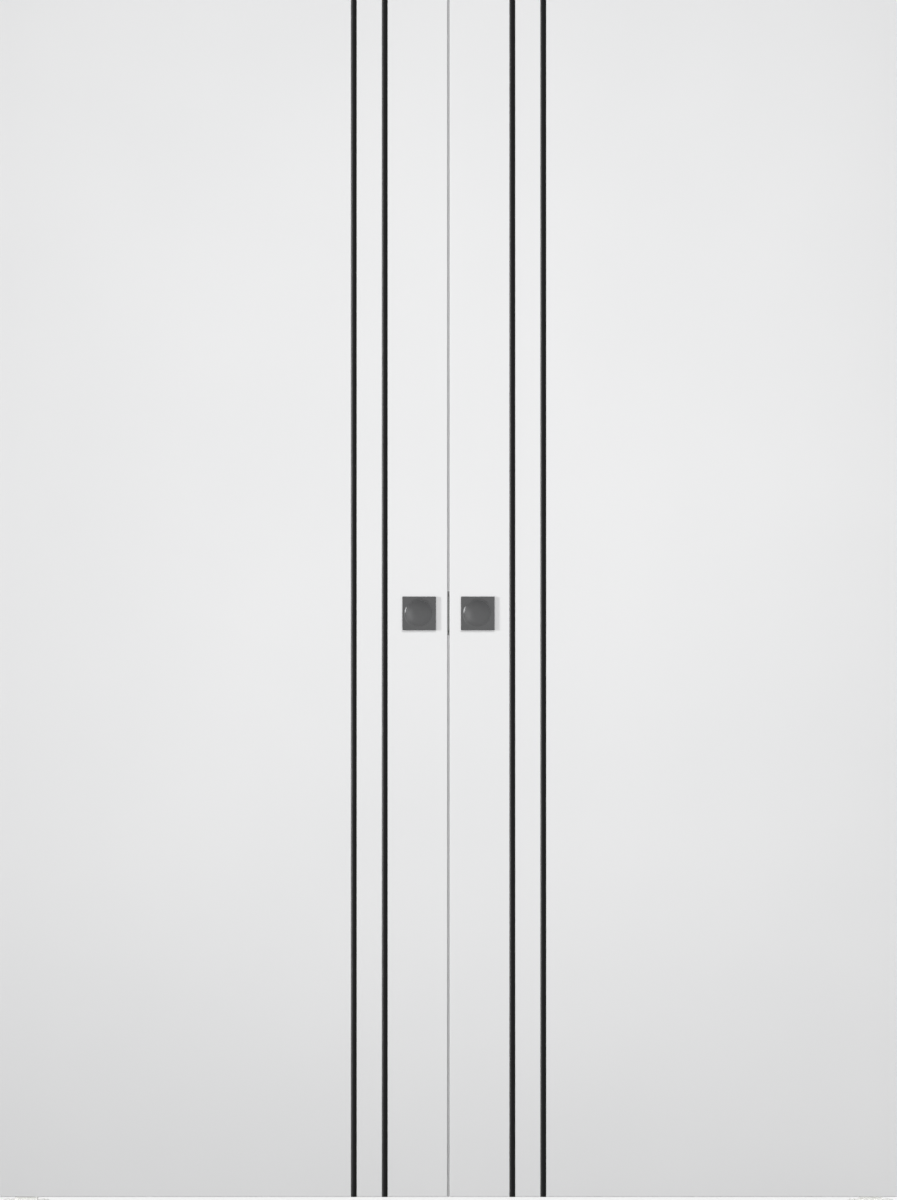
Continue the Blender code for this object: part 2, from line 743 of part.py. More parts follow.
class Leaf:
    """One leaf and everything that travels with it, measured from its meeting edge and its bottom edge."""

    def __init__(self, side, finishes):
        self.side = side
        self.sign = SIDES[side]
        self.finishes = finishes
        place = (self.sign * MEETING_GAP / 2, 0, FLOOR_CLEARANCE)
        self.root = add_empty(f"{side}_leaf", place)

    def handed(self, bm):
        return mirrored(bm, "X") if self.sign < 0 else bm

    def add(self, name, bm, finish, smooth_angle=None):
        return add(
            f"{self.side}_{name}", self.handed(bm), self.finishes[finish], self.root, smooth_angle=smooth_angle
        )

    def tool(self, name, bm):
        return add_tool(f"{self.side}_{name}", self.handed(bm), self.root)

    def build(self):
        self.add_frame()
        self.add_faces()
        self.add_edge_fittings()
        for name, along in (("inner", HANGER_INSET), ("outer", leaf_width - HANGER_INSET)):
            self.add_hanger(name, along)

    def add_frame(self):
        half = frame_thickness / 2
        meeting_stile = self.add(
            "meeting_stile", block((0, -half, 0), (MEETING_STILE, half, LEAF_HEIGHT)), "lacquer"
        )
        outer_start = leaf_width - OUTER_STILE
        outer_stile = self.add(
            "outer_stile", block((outer_start, -half, 0), (leaf_width, half, LEAF_HEIGHT)), "lacquer"
        )
        start, end = MEETING_STILE + GLUE_LINE, outer_start - GLUE_LINE
        bottom_rail = self.add("bottom_rail", block((start, -half, 0), (end, half, BOTTOM_RAIL)), "lacquer")
        self.add(
            "top_rail", block((start, -half, LEAF_HEIGHT - TOP_RAIL), (end, half, LEAF_HEIGHT)), "lacquer"
        )
        low = (start, BOTTOM_RAIL + GLUE_LINE)
        high = (end, LEAF_HEIGHT - TOP_RAIL - GLUE_LINE)
        self.add("core", core_shape(low, high), "chipboard")
        groove = self.tool("guide_groove", guide_groove())
        for member in (meeting_stile, outer_stile, bottom_rail):
            combine(member, groove, "DIFFERENCE")
        pockets = joined(pull_pocket(PULL_FIT), mirrored(pull_pocket(PULL_FIT), "Y"))
        plate, box = edge_pull_body(EDGE_FIT)
        tools = {
            "edge_plate_mortise": plate,
            "edge_box_mortise": box,
            "seal_kerf": kerf(),
            "pull_pockets": pockets,
            "post_holes": post_holes(),
        }
        for name, shape in tools.items():
            combine(meeting_stile, self.tool(name, shape), "DIFFERENCE")

    def add_faces(self):
        for face in ("front", "rear"):
            turn = (lambda bm: bm) if face == "front" else (lambda bm: mirrored(bm, "Y"))
            skin = self.add(f"{face}_skin", turn(skin_shape()), "lacquer")
            combine(skin, self.tool(f"{face}_strip_grooves", turn(strip_grooves())), "DIFFERENCE")
            combine(skin, self.tool(f"{face}_pull_hole", turn(pull_pocket(PULL_FIT))), "DIFFERENCE")
            for name, middle in strip_places().items():
                self.add(f"{face}_{name}_strip", turn(strip_shape(middle)), "strip", smooth_angle=40)
            pull = self.add(f"{face}_pull", turn(pull_plate()), "pull")
            combine(pull, self.tool(f"{face}_pull_cup", turn(pull_cup())), "UNION")
            combine(pull, self.tool(f"{face}_pull_posts", turn(pull_posts())), "UNION")
            combine(pull, self.tool(f"{face}_pull_dish", turn(pull_dish())), "DIFFERENCE")

    def add_edge_fittings(self):
        plate, box = edge_pull_body(0)
        edge_pull = self.add("edge_pull", plate, "pull")
        combine(edge_pull, self.tool("edge_grip_box", box), "UNION")
        combine(edge_pull, self.tool("edge_grip_hollow", grip_hollow()), "DIFFERENCE")
        reach = EDGE_PULL_HEIGHT / 2 + EDGE_FIT
        self.add("lower_seal", seal_shape(0, pull_rise - reach), "seal", smooth_angle=40)
        self.add("upper_seal", seal_shape(pull_rise + reach, LEAF_HEIGHT), "seal", smooth_angle=40)

    def add_hanger(self, name, along):
        top = LEAF_HEIGHT
        axle = axle_height - FLOOR_CLEARANCE
        seat = axle + BOSS_RISE + SEAT_GAP - top
        plate = self.add(
            f"{name}_hanger_plate", moved(hanger_plate_shape(), (along, 0, top + SEAT_GAP)), "steel"
        )
        cuts = self.tool(f"{name}_plate_cuts", moved(hanger_plate_cuts(), (along, 0, top + SEAT_GAP)))
        combine(plate, cuts, "DIFFERENCE")
        bolt = self.add(f"{name}_hanger_bolt", moved(bolt_shank(seat), (along, 0, top)), "steel")
        hexes = self.tool(f"{name}_bolt_hexes", moved(bolt_hexes(seat), (along, 0, top)))
        combine(bolt, hexes, "UNION")
        trolley = self.add(f"{name}_trolley", moved(trolley_bar(), (along, 0, axle)), "steel")
        combine(trolley, self.tool(f"{name}_boss", moved(trolley_boss(), (along, 0, axle))), "UNION")
        combine(trolley, self.tool(f"{name}_bore", moved(trolley_bore(), (along, 0, axle))), "DIFFERENCE")
        for place, offset in (("near", -axle_offset), ("far", axle_offset)):
            add(
                f"{self.side}_{name}_{place}_wheelset",
                wheelset_shape(),
                self.finishes["nylon"],
                self.root,
                location=(self.sign * (along + offset), 0, axle),
                smooth_angle=40,
            )


def main():
    clear_scene()
    finishes = {
        "lacquer": material("white_lacquer", (0.85, 0.85, 0.86), 0.35),
        "chipboard": material("chipboard", (0.48, 0.35, 0.22), 0.9),
        "strip": material("black_strip", (0.012, 0.012, 0.013), 0.4),
        "pull": material("dark_satin_metal", (0.13, 0.13, 0.13), 0.35, 1.0),
        "seal": material("grey_seal", (0.55, 0.55, 0.55), 0.7),
        "steel": material("zinc_steel", (0.55, 0.56, 0.58), 0.4, 1.0),
        "nylon": material("black_nylon", (0.03, 0.03, 0.03), 0.5),
        "guide": material("white_nylon", (0.78, 0.78, 0.76), 0.5),
        "track": material("satin_aluminium", (0.72, 0.73, 0.74), 0.35, 1.0),
        "rubber": material("rubber", (0.025, 0.025, 0.025), 0.8),
    }
    add_track(finishes["track"])
    add_stops(finishes["steel"], finishes["rubber"])
    for side, sign in SIDES.items():
        add_floor_guide(side, sign, finishes["guide"])
        Leaf(side, finishes).build()


main()
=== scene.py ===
import json
import math

import bmesh
import bpy
from mathutils import Matrix, Vector

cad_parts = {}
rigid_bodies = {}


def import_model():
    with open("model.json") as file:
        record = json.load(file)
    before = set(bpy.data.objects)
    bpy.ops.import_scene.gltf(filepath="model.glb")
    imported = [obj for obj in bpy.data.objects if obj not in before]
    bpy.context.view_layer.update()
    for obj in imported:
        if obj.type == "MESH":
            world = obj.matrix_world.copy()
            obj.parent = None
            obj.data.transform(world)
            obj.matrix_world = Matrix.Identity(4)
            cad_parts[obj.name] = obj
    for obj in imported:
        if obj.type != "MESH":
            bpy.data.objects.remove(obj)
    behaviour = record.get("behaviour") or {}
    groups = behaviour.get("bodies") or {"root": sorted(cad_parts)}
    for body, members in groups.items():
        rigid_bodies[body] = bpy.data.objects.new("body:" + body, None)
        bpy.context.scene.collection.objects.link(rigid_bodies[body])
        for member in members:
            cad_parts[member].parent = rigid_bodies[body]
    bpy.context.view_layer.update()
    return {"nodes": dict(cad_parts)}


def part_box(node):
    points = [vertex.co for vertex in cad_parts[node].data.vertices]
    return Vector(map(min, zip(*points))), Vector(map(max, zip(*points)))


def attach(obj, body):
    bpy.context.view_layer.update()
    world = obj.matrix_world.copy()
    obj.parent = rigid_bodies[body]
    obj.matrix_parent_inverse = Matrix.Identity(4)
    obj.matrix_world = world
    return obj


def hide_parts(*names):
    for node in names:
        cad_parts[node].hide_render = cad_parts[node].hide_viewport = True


for old in list(bpy.data.objects):
    bpy.data.objects.remove(old)

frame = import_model()
nodes = frame["nodes"]
scene = bpy.context.scene
sides = {"left": -1, "right": 1}  # sign of X
faces = {"front": -1, "rear": 1}  # sign of Y
bothWays = (-1, 1)
# pieces that some lamps light alone, and the floor that one lamp leaves out
litGroups = {name: bpy.data.collections.new(name) for name in ("pulls", "strips", "guides", "besideFloor")}
print("frame loaded with", len(nodes), "nodes")


# Small mesh tools, in metres

sameHeight = 1e-6
weldGap = 2e-6
bridgeLift = 0.05
slotSteps = 36


def roundCorners(bm, verts, width, steps):
    bmesh.ops.bevel(bm, geom=verts, offset=width, offset_type="OFFSET", segments=steps,
                    profile=0.5, affect="VERTICES", material=-1)


def softenEdges(bm, edges, width, steps=3):
    bmesh.ops.bevel(bm, geom=edges, offset=width, offset_type="OFFSET", segments=steps,
                    profile=0.5, affect="EDGES", clamp_overlap=True, material=-1)


def spinLine(bm, line, turns):
    bmesh.ops.spin(bm, geom=line, cent=(0, 0, 0), axis=(0, 0, 1),
                   angle=2 * math.pi, steps=turns, use_merge=True)


def turnPoints(bm, points, turns):
    # spins an open line of (radius, height) points about Z and gives back the new faces
    before = set(bm.faces)
    verts = [bm.verts.new((radius, 0, height)) for radius, height in points]
    edges = [bm.edges.new(pair) for pair in zip(verts, verts[1:])]
    spinLine(bm, verts + edges, turns)
    return [face for face in bm.faces if face not in before]


def turnRing(bm, points, turns, soften=0):
    # spins a closed outline that stays clear of the axis, with its corners softened first
    before = set(bm.faces)
    verts = [bm.verts.new((radius, 0, height)) for radius, height in points]
    outline = bm.faces.new(verts)
    if soften:
        roundCorners(bm, verts, soften, 3)
        outline = next(face for face in bm.faces if face not in before)
    line = outline.verts[:] + outline.edges[:]
    bmesh.ops.delete(bm, geom=[outline], context="FACES_ONLY")
    spinLine(bm, line, turns)


def mirrored(points, height=0):
    # (radius, distance) points below a height, then the same points in reverse above it
    below = [(radius, height - distance) for radius, distance in points]
    above = [(radius, height + distance) for radius, distance in reversed(points)]
    return below + above


def drawOut(bm, flat, step):
    drawn = bmesh.ops.extrude_face_region(bm, geom=flat)["geom"]
    moved = [item for item in drawn if isinstance(item, bmesh.types.BMVert)]
    bmesh.ops.translate(bm, verts=moved, vec=step)
    return moved


def liesAt(item, height):
    return all(abs(vert.co.z - height) < sameHeight for vert in item.verts)


def edgesAt(bm, height):
    return [edge for edge in bm.edges if liesAt(edge, height)]


def newRim(bm, height, known):
    # the open edges at a height that aren't among the known ones
    return [edge for edge in edgesAt(bm, height) if edge not in known and len(edge.link_faces) == 1]


def openFace(bm, height):
    # takes away the largest flat face at a height and gives back the edges round the hole
    flat = max((face for face in bm.faces if liesAt(face, height)), key=lambda face: face.calc_area())
    edges = flat.edges[:]
    bmesh.ops.delete(bm, geom=[flat], context="FACES_ONLY")
    return edges


def rectangleBlock(bm, wide, tall, thick, corner, cornerSteps=5):
    # a block with rounded corners, its face at Z 0 and its back below it
    before = set(bm.verts)
    bmesh.ops.create_circle(bm, cap_ends=True, segments=4, radius=math.sqrt(0.5),
                            matrix=Matrix.Rotation(math.radians(45), 4, "Z"))
    verts = [vert for vert in bm.verts if vert not in before]
    bmesh.ops.scale(bm, verts=verts, vec=(wide, tall, 1))
    flat = verts[0].link_faces[0]
    known = set(bm.faces) - {flat}
    roundCorners(bm, verts, corner, cornerSteps)
    drawOut(bm, [face for face in bm.faces if face not in known], (0, 0, -thick))


def slotLoop(bm, tall, wide, height, cap=False):
    # an upright slot outline with round ends, as its edges
    before = set(bm.edges)
    made = bmesh.ops.create_circle(bm, cap_ends=cap, segments=slotSteps, radius=wide / 2,
                                   matrix=Matrix.Rotation(math.pi / slotSteps, 4, "Z"))["verts"]
    for vert in made:
        vert.co.y += math.copysign((tall - wide) / 2, vert.co.y)
        vert.co.z = height
    return [edge for edge in bm.edges if edge not in before]


def join(bm, first, second):
    # loops in one plane stand apart while they are bridged, so that the bridge can't twist
    moved = list({vert for edge in second for vert in edge.verts})
    inPlane = abs(first[0].verts[0].co.z - moved[0].co.z) < sameHeight
    apart = Vector((0, 0, bridgeLift if inPlane else 0))
    bmesh.ops.translate(bm, verts=moved, vec=apart)
    bmesh.ops.bridge_loops(bm, edges=first + second)
    bmesh.ops.translate(bm, verts=moved, vec=-apart)


def loft(bm, loops):
    for first, second in zip(loops, loops[1:]):
        join(bm, first, second)


def facing(spot, outward):
    # a place whose local Z points outward and whose local Y points as far up as it can
    out = Vector(outward).normalized()
    up = Vector((0, 0, 1)) if abs(out.z) < 0.9 else Vector((0, 1, 0))
    across = up.cross(out).normalized()
    turn = Matrix((across, out.cross(across), out)).transposed()
    return Matrix.Translation(spot) @ turn.to_4x4()


def stamp(target, source, where):
    # adds a small bmesh to a larger one at a place
    source.transform(where)
    mesh = bpy.data.meshes.new("stamp")
    source.to_mesh(mesh)
    source.free()
    target.from_mesh(mesh)
    bpy.data.meshes.remove(mesh)


def setPiece(bm, name, body, finishes, stands=(), sharp=32):
    bmesh.ops.remove_doubles(bm, verts=bm.verts[:], dist=weldGap)
    bmesh.ops.recalc_face_normals(bm, faces=bm.faces[:])
    mesh = bpy.data.meshes.new(name)
    bm.to_mesh(mesh)
    bm.free()
    for finish in finishes:
        mesh.materials.append(finish)
    mesh.shade_smooth()
    mesh.set_sharp_from_angle(angle=math.radians(sharp))
    piece = bpy.data.objects.new(name, mesh)
    scene.collection.objects.link(piece)
    level = piece.modifiers.new("level shading", "WEIGHTED_NORMAL")
    level.keep_sharp = True
    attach(piece, body)
    if stands:
        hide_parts(*stands)
    return piece


# Small material tools

def newFinish(name, sockets):
    finish = bpy.data.materials.new(name)
    finish.use_nodes = True
    shader = finish.node_tree.nodes["Principled BSDF"]
    for socket, value in sockets.items():
        shader.inputs[socket].default_value = value
    return finish, shader


def addNode(holder, kind, inputs=None, **settings):
    node = holder.node_tree.nodes.new(kind)
    for name, value in settings.items():
        setattr(node, name, value)
    for name, value in (inputs or {}).items():
        if isinstance(value, bpy.types.NodeSocket):
            holder.node_tree.links.new(value, node.inputs[name])
        else:
            node.inputs[name].default_value = value
    return node


def plug(finish, source, target):
    finish.node_tree.links.new(source, target)


def pattern(finish, stretch=(1, 1, 1), centre=(0, 0, 0)):
    coords = addNode(finish, "ShaderNodeTexCoord")
    shifted = addNode(finish, "ShaderNodeMapping", {
        "Vector": coords.outputs["Object"],
        "Location": [-c * s for c, s in zip(centre, stretch)],
        "Scale": stretch,
    })
    return shifted.outputs["Vector"]


def grain(finish, scale, detail, rough=0.5, stretch=(1, 1, 1)):
    noise = addNode(finish, "ShaderNodeTexNoise", {
        "Vector": pattern(finish, stretch), "Scale": scale, "Detail": detail, "Roughness": rough,
    })
    return noise.outputs["Fac"]


def cells(finish, scale, stretch=(1, 1, 1)):
    flakes = addNode(finish, "ShaderNodeTexVoronoi", {"Vector": pattern(finish, stretch), "Scale": scale})
    return flakes.outputs


def tint(finish, factor, dark, light, low=0.3, high=0.7):
    ramp = addNode(finish, "ShaderNodeValToRGB", {"Fac": factor})
    first, last = ramp.color_ramp.elements
    first.position, first.color = low, (*dark, 1)
    last.position, last.color = high, (*light, 1)
    return ramp.outputs["Color"]


def spread(finish, factor, low, high, start=0.25, end=0.75):
    scaled = addNode(finish, "ShaderNodeMapRange", {
        "Value": factor, "From Min": start, "From Max": end, "To Min": low, "To Max": high,
    })
    return scaled.outputs["Result"]


def relief(finish, height, strength, distance):
    bump = addNode(finish, "ShaderNodeBump", {
        "Height": height, "Strength": strength, "Distance": distance,
    })
    return bump.outputs["Normal"]


def coat(finish, shader, look, tone, rub, bumps):
    # colour from one factor, roughness from the next and relief from the last
    colour = tint(finish, tone, look["dark"], look["light"], *look.get("ramp", ()))
    plug(finish, colour, shader.inputs["Base Color"])
    plug(finish, spread(finish, rub, *look["satin"]), shader.inputs["Roughness"])
    plug(finish, relief(finish, bumps, **look["relief"]), shader.inputs["Normal"])


def makeGrained(name, look):
    # roughness and relief follow the colour's grain unless they have grains of their own
    finish, shader = newFinish(name, look["sockets"])
    tone = grain(finish, **look["tone"])
    rub = grain(finish, **look["rub"]) if "rub" in look else tone
    bumps = grain(finish, **look["bumps"]) if "bumps" in look else tone
    coat(finish, shader, look, tone, rub, bumps)
    return finish


# White lacquer on the leaves: faint clouding, a satin that varies a little and a fine sprayed peel

lacquer = {
    "sockets": {"Specular IOR Level": 0.45},
    "dark": (0.838, 0.841, 0.846), "light": (0.862, 0.864, 0.868), "tone": {"scale": 2.1, "detail": 3},
    "satin": (0.30, 0.40), "rub": {"scale": 26, "detail": 4},
    "relief": {"strength": 0.05, "distance": 0.0003}, "bumps": {"scale": 620, "detail": 2},
}
whiteLacquer = makeGrained("whiteLacquer", lacquer)


# Black inlaid strips: drawn metal, finished black, with fine lines along its length

inlayMetal = {
    "sockets": {"Specular IOR Level": 0.14},
    "dark": (0.0030, 0.0030, 0.0032), "light": (0.0055, 0.0055, 0.0058), "satin": (0.30, 0.44),
    "tone": {"scale": 2600, "detail": 3, "rough": 0.6, "stretch": (1, 1, 0.006)},
    "relief": {"strength": 0.08, "distance": 0.0001},
}
blackInlay = makeGrained("blackInlay", inlayMetal)


# Dark satin metal of the pulls: brushed along the plates, turned in rings in the dishes, polished along
# the edges of the dishes; the finger pulls are the same metal painted darker, a painted shade for the gap
# between the leaves

pullMetal = {
    "sockets": {"Metallic": 1.0},
    "dark": (0.108, 0.109, 0.111), "light": (0.142, 0.143, 0.145), "satin": (0.32, 0.46),
    "tone": {"scale": 3200, "detail": 3, "rough": 0.6, "stretch": (0.02, 1, 1)},
    "rings": {"Scale": 2400, "Detail": 3},
    "relief": {"strength": 0.10, "distance": 0.0001},
}
rimMetal = {**pullMetal, "satin": (0.12, 0.18)}
# the finger pulls' darker colour is painted shade that deepens the dark line in the gap between the leaves
fingerMetalPaintedShade = {
    **pullMetal,
    "dark": (0.058, 0.059, 0.060), "light": (0.078, 0.079, 0.080), "satin": (0.36, 0.50),
    "tone": {**pullMetal["tone"], "stretch": (1, 1, 0.02)},
}


def makeTurned(name, look, side):
    low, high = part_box(f"{side}_front_pull")
    centre = (low + high) / 2
    finish, shader = newFinish(name, look["sockets"])
    flat = pattern(finish, (1, 0, 1), (centre.x, 0, centre.z))
    radius = addNode(finish, "ShaderNodeVectorMath", {"Vector": flat}, operation="LENGTH").outputs["Value"]
    rings = addNode(finish, "ShaderNodeTexNoise", {"W": radius, **look["rings"]},
                    noise_dimensions="1D").outputs["Fac"]
    coat(finish, shader, look, rings, rings, rings)
    return finish


pullPlate = makeGrained("brushedPullPlate", pullMetal)
fingerPlatePaintedShade = makeGrained("brushedFingerPlateWithPaintedShade", fingerMetalPaintedShade)
pullDish = {side: makeTurned(f"{side}TurnedDish", pullMetal, side) for side in sides}
pullRim = {side: makeTurned(f"{side}PolishedRim", rimMetal, side) for side in sides}


# Light grey seal along the meeting edges

sealRubber = {
    "sockets": {"Specular IOR Level": 0.3},
    "dark": (0.46, 0.46, 0.47), "light": (0.54, 0.54, 0.55), "satin": (0.58, 0.74),
    "tone": {"scale": 900, "detail": 3},
    "relief": {"strength": 0.12, "distance": 0.0002},
    "bumps": {"scale": 1500, "detail": 2, "stretch": (1, 1, 0.02)},
}
greySeal = makeGrained("greySeal", sealRubber)


# Satin anodised aluminium with the lines that the die leaves along it

trackMetal = {
    "sockets": {"Metallic": 1.0},
    "dark": (0.50, 0.505, 0.515), "light": (0.60, 0.605, 0.615), "satin": (0.26, 0.42),
    "tone": {"scale": 1900, "detail": 4, "rough": 0.6, "stretch": (0.004, 1, 1)},
    "relief": {"strength": 0.12, "distance": 0.0001},
}
anodisedTrack = makeGrained("anodisedTrack", trackMetal)


# Zinc plating: pale metal with a cloudy sheen and a fine crystal texture

zinc = {
    "sockets": {"Metallic": 1.0},
    "dark": (0.47, 0.48, 0.50), "light": (0.66, 0.66, 0.65), "satin": (0.28, 0.46),
    "clouds": {"scale": 160, "detail": 4, "rough": 0.6}, "crystals": {"scale": 1400},
    "relief": {"strength": 0.06, "distance": 0.0002},
}


def makeZinc():
    finish, shader = newFinish("zincPlate", zinc["sockets"])
    clouds = grain(finish, **zinc["clouds"])
    crystals = cells(finish, **zinc["crystals"])
    coat(finish, shader, zinc, clouds, clouds, crystals["Distance"])
    return finish


zincPlate = makeZinc()


# Moulded nylon with a spark eroded grain: black on the wheels, white on the floor guides

wheelNylon = {
    "sockets": {"Specular IOR Level": 0.4},
    "dark": (0.022, 0.022, 0.023), "light": (0.036, 0.036, 0.037), "satin": (0.42, 0.58),
    "tone": {"scale": 1100, "detail": 3}, "relief": {"strength": 0.25, "distance": 0.0002},
}
guideNylon = {
    **wheelNylon, "dark": (0.75, 0.75, 0.73), "light": (0.81, 0.81, 0.79),
    "tone": {"scale": 900, "detail": 3}, "relief": {"strength": 0.2, "distance": 0.0002},
}
blackNylon = makeGrained("blackNylon", wheelNylon)
whiteNylon = makeGrained("whiteNylon", guideNylon)


# Rubber of the centre stop and the buffers, with a faint bloom

stopRubber = {
    "sockets": {"Specular IOR Level": 0.25},
    "dark": (0.017, 0.017, 0.017), "light": (0.034, 0.034, 0.035), "satin": (0.68, 0.88),
    "tone": {"scale": 240, "detail": 5, "rough": 0.65}, "relief": {"strength": 0.2, "distance": 0.0003},
}
blackRubber = makeGrained("blackRubber", stopRubber)


# Pressed chipboard inside the leaves

chipboard = {
    "sockets": {"Specular IOR Level": 0.2},
    "dark": (0.34, 0.23, 0.13), "light": (0.58, 0.44, 0.28), "ramp": (0.1, 0.9), "satin": (0.78, 0.95),
    "chips": {"scale": 420, "stretch": (1, 1, 0.4)}, "relief": {"strength": 0.4, "distance": 0.0006},
}


def makeChipboard():
    finish, shader = newFinish("pressedChips", chipboard["sockets"])
    chips = cells(finish, **chipboard["chips"])
    tone = addNode(finish, "ShaderNodeSeparateColor", {"Color": chips["Color"]}).outputs["Red"]
    coat(finish, shader, chipboard, tone, tone, chips["Distance"])
    return finish


pressedChips = makeChipboard()
print("finishes made")


# CAD nodes that keep their shape take these finishes, by their name or its last word

nodeFinishes = {
    "skin": whiteLacquer, "stile": whiteLacquer, "rail": whiteLacquer, "core": pressedChips,
    "plate": zincPlate, "track_rail": anodisedTrack,
}

for name, node in nodes.items():
    finish = nodeFinishes.get(name, nodeFinishes.get(name.split("_")[-1]))
    if finish:
        for holder in node.material_slots:
            holder.material = finish
print("CAD nodes dressed")


# Screws with a cross recess in a domed or flat head

screwShape = {
    "recess": 0.56, "recessDeep": 0.5,  # shares of the head's radius
    "recessTaper": 0.72,
    "crown": ((0.72, 1), (0.88, 0.72), (0.97, 0.35), (1, 0)),  # shares of its radius and dome
    "ease": (0.98, 0.12),  # shares of its radius and underside
    "turns": 28,
}


def screwHead(radius, dome, under, shank, reach):
    # head with its rim at Z 0, its crown above and a tapered underside below
    bm = bmesh.new()
    bmesh.ops.create_grid(bm, x_segments=3, y_segments=3, size=radius * screwShape["recess"])
    corners = [f for f in bm.faces if all(abs(c) > sameHeight for c in f.calc_center_median().xy)]
    bmesh.ops.delete(bm, geom=corners, context="FACES")
    lid = bm.faces[:]
    floor = drawOut(bm, lid, (0, 0, -radius * screwShape["recessDeep"]))
    bmesh.ops.scale(bm, verts=floor, vec=(screwShape["recessTaper"], screwShape["recessTaper"], 1))
    mouth = [e for e in edgesAt(bm, 0) if any(f not in lid for f in e.link_faces)]
    bmesh.ops.delete(bm, geom=lid, context="FACES_ONLY")
    bmesh.ops.delete(bm, geom=[e for e in bm.edges if not e.link_faces], context="EDGES")
    bmesh.ops.translate(bm, verts=bm.verts[:], vec=(0, 0, dome))
    known = set(bm.edges)
    easeOut, easeDown = screwShape["ease"]
    profile = [(radius * out, dome * up) for out, up in screwShape["crown"]]
    profile += [(radius * easeOut, -under * easeDown), (shank, -under), (shank, -reach), (0, -reach)]
    turnPoints(bm, profile, screwShape["turns"])
    join(bm, [e for e in mouth if e.is_valid], newRim(bm, dome, known))
    return bm


def addScrews(name, body, screw, seats, finish):
    bm = bmesh.new()
    for seat in seats:
        stamp(bm, screwHead(**screw), seat)
    return setPiece(bm, name, body, [finish])


# Square flush pulls with a turned dish

pull = {
    "plateThick": 0.0030, "corner": 0.0010, "edge": 0.0007, "edgeSteps": 4,
    "dishRadius": 0.0245, "dishDepth": 0.0090, "dishPower": 2.6, "rimDrop": 0.0006, "polishFrom": 0.0222,
    "cupWall": 0.0016, "turns": 96, "rings": 18, "rimSteps": 6,
    "screwRise": 0.013, "screwLift": 0.0002,
    "screw": {"radius": 0.0030, "dome": 0.0003, "under": 0.0010, "shank": 0.0012, "reach": 0.0014},
}
dishSlot, rimSlot = 1, 2  # places of the turned and the polished finish on a pull


def dishFall(share):
    # depth of the dish below the plate at a share of its radius
    return pull["rimDrop"] + (pull["dishDepth"] - pull["rimDrop"]) * (1 - share ** pull["dishPower"])


def dishSlope(share):
    steepest = (pull["dishDepth"] - pull["rimDrop"]) * pull["dishPower"] / pull["dishRadius"]
    return math.atan(steepest * share ** (pull["dishPower"] - 1))


def dishProfile():
    # a rim rounded from the plate into the dish, then the dish down to its middle
    slope = dishSlope(1)
    bend = pull["rimDrop"] / (1 - math.cos(slope))
    start = pull["dishRadius"] + bend * math.sin(slope)
    points = []
    for step in range(pull["rimSteps"]):
        angle = slope * step / pull["rimSteps"]
        points.append((start - bend * math.sin(angle), bend * (math.cos(angle) - 1)))
    for ring in range(pull["rings"]):
        share = math.cos(math.pi / 2 * ring / pull["rings"])
        points.append((pull["dishRadius"] * share, -dishFall(share)))
    return points + [(0, -pull["dishDepth"])]


def makePull(side, face):
    node = f"{side}_{face}_pull"
    low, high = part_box(node)
    width, thick = high.x - low.x, pull["plateThick"]
    cupRadius = pull["dishRadius"] + pull["cupWall"]
    cupDepth = pull["dishDepth"] + pull["cupWall"]
    cupEase = pull["cupWall"] / 2
    bm = bmesh.new()
    rectangleBlock(bm, width, width, thick, pull["corner"])
    softenEdges(bm, edgesAt(bm, 0), pull["edge"], pull["edgeSteps"])
    plateFront = openFace(bm, 0)
    plateBack = openFace(bm, -thick)
    known = set(bm.edges)
    for part in turnPoints(bm, dishProfile(), pull["turns"]):
        polished = part.calc_center_median().xy.length > pull["polishFrom"]
        part.material_index = rimSlot if polished else dishSlot
    join(bm, plateFront, newRim(bm, 0, known))
    known = set(bm.edges)
    turnPoints(bm, [(cupRadius, -thick), (cupRadius, cupEase - cupDepth),
                    (cupRadius - cupEase, -cupDepth), (0, -cupDepth)], pull["turns"])
    join(bm, plateBack, newRim(bm, -thick, known))
    out = faces[face]
    spot = ((low.x + high.x) / 2, low.y if out < 0 else high.y, (low.z + high.z) / 2)
    bm.transform(facing(spot, (0, out, 0)))
    finishes = [pullPlate, pullDish[side], pullRim[side]]
    piece = setPiece(bm, f"{side}_{face}_flush_pull", f"{side}_leaf", finishes, [node])
    litGroups["pulls"].objects.link(piece)
    return spot


def makePullScrews(side, spot):
    # two through screws in the rear dish, square to its slope
    share = pull["screwRise"] / pull["dishRadius"]
    tilt = dishSlope(share)
    seats = []
    for up in bothWays:
        seat = (spot[0], spot[1] - dishFall(share) + pull["screwLift"], spot[2] + up * pull["screwRise"])
        seats.append(facing(seat, (0, math.cos(tilt), -up * math.sin(tilt))))
    addScrews(f"{side}_rear_pull_screws", f"{side}_leaf", pull["screw"], seats, zincPlate)


for side in sides:
    for face in faces:
        pullSpot = makePull(side, face)
        if face == "rear":
            makePullScrews(side, pullSpot)
print("flush pulls made")


# Finger pulls let into the meeting edges

edgePull = {
    "plateThick": 0.00272, "corner": 0.0008, "edge": 0.0004,
    "gripTall": 0.050, "gripWide": 0.013, "gripDeep": 0.012, "wall": 0.0015,
    "lip": ((0.0006, 0), (0.00022, 0.0001), (0.00004, 0.0003), (0, 0.0006)),  # outward and down
    "base": ((0, 0.003), (0.0004, 0.0015), (0.0015, 0.0004), (0.003, 0)),  # inward and up
    "screwRise": 0.0312, "screwLift": 0.00002,
    "screw": {"radius": 0.0026, "dome": 0.00008, "under": 0.0009, "shank": 0.0011, "reach": 0.0016},
}


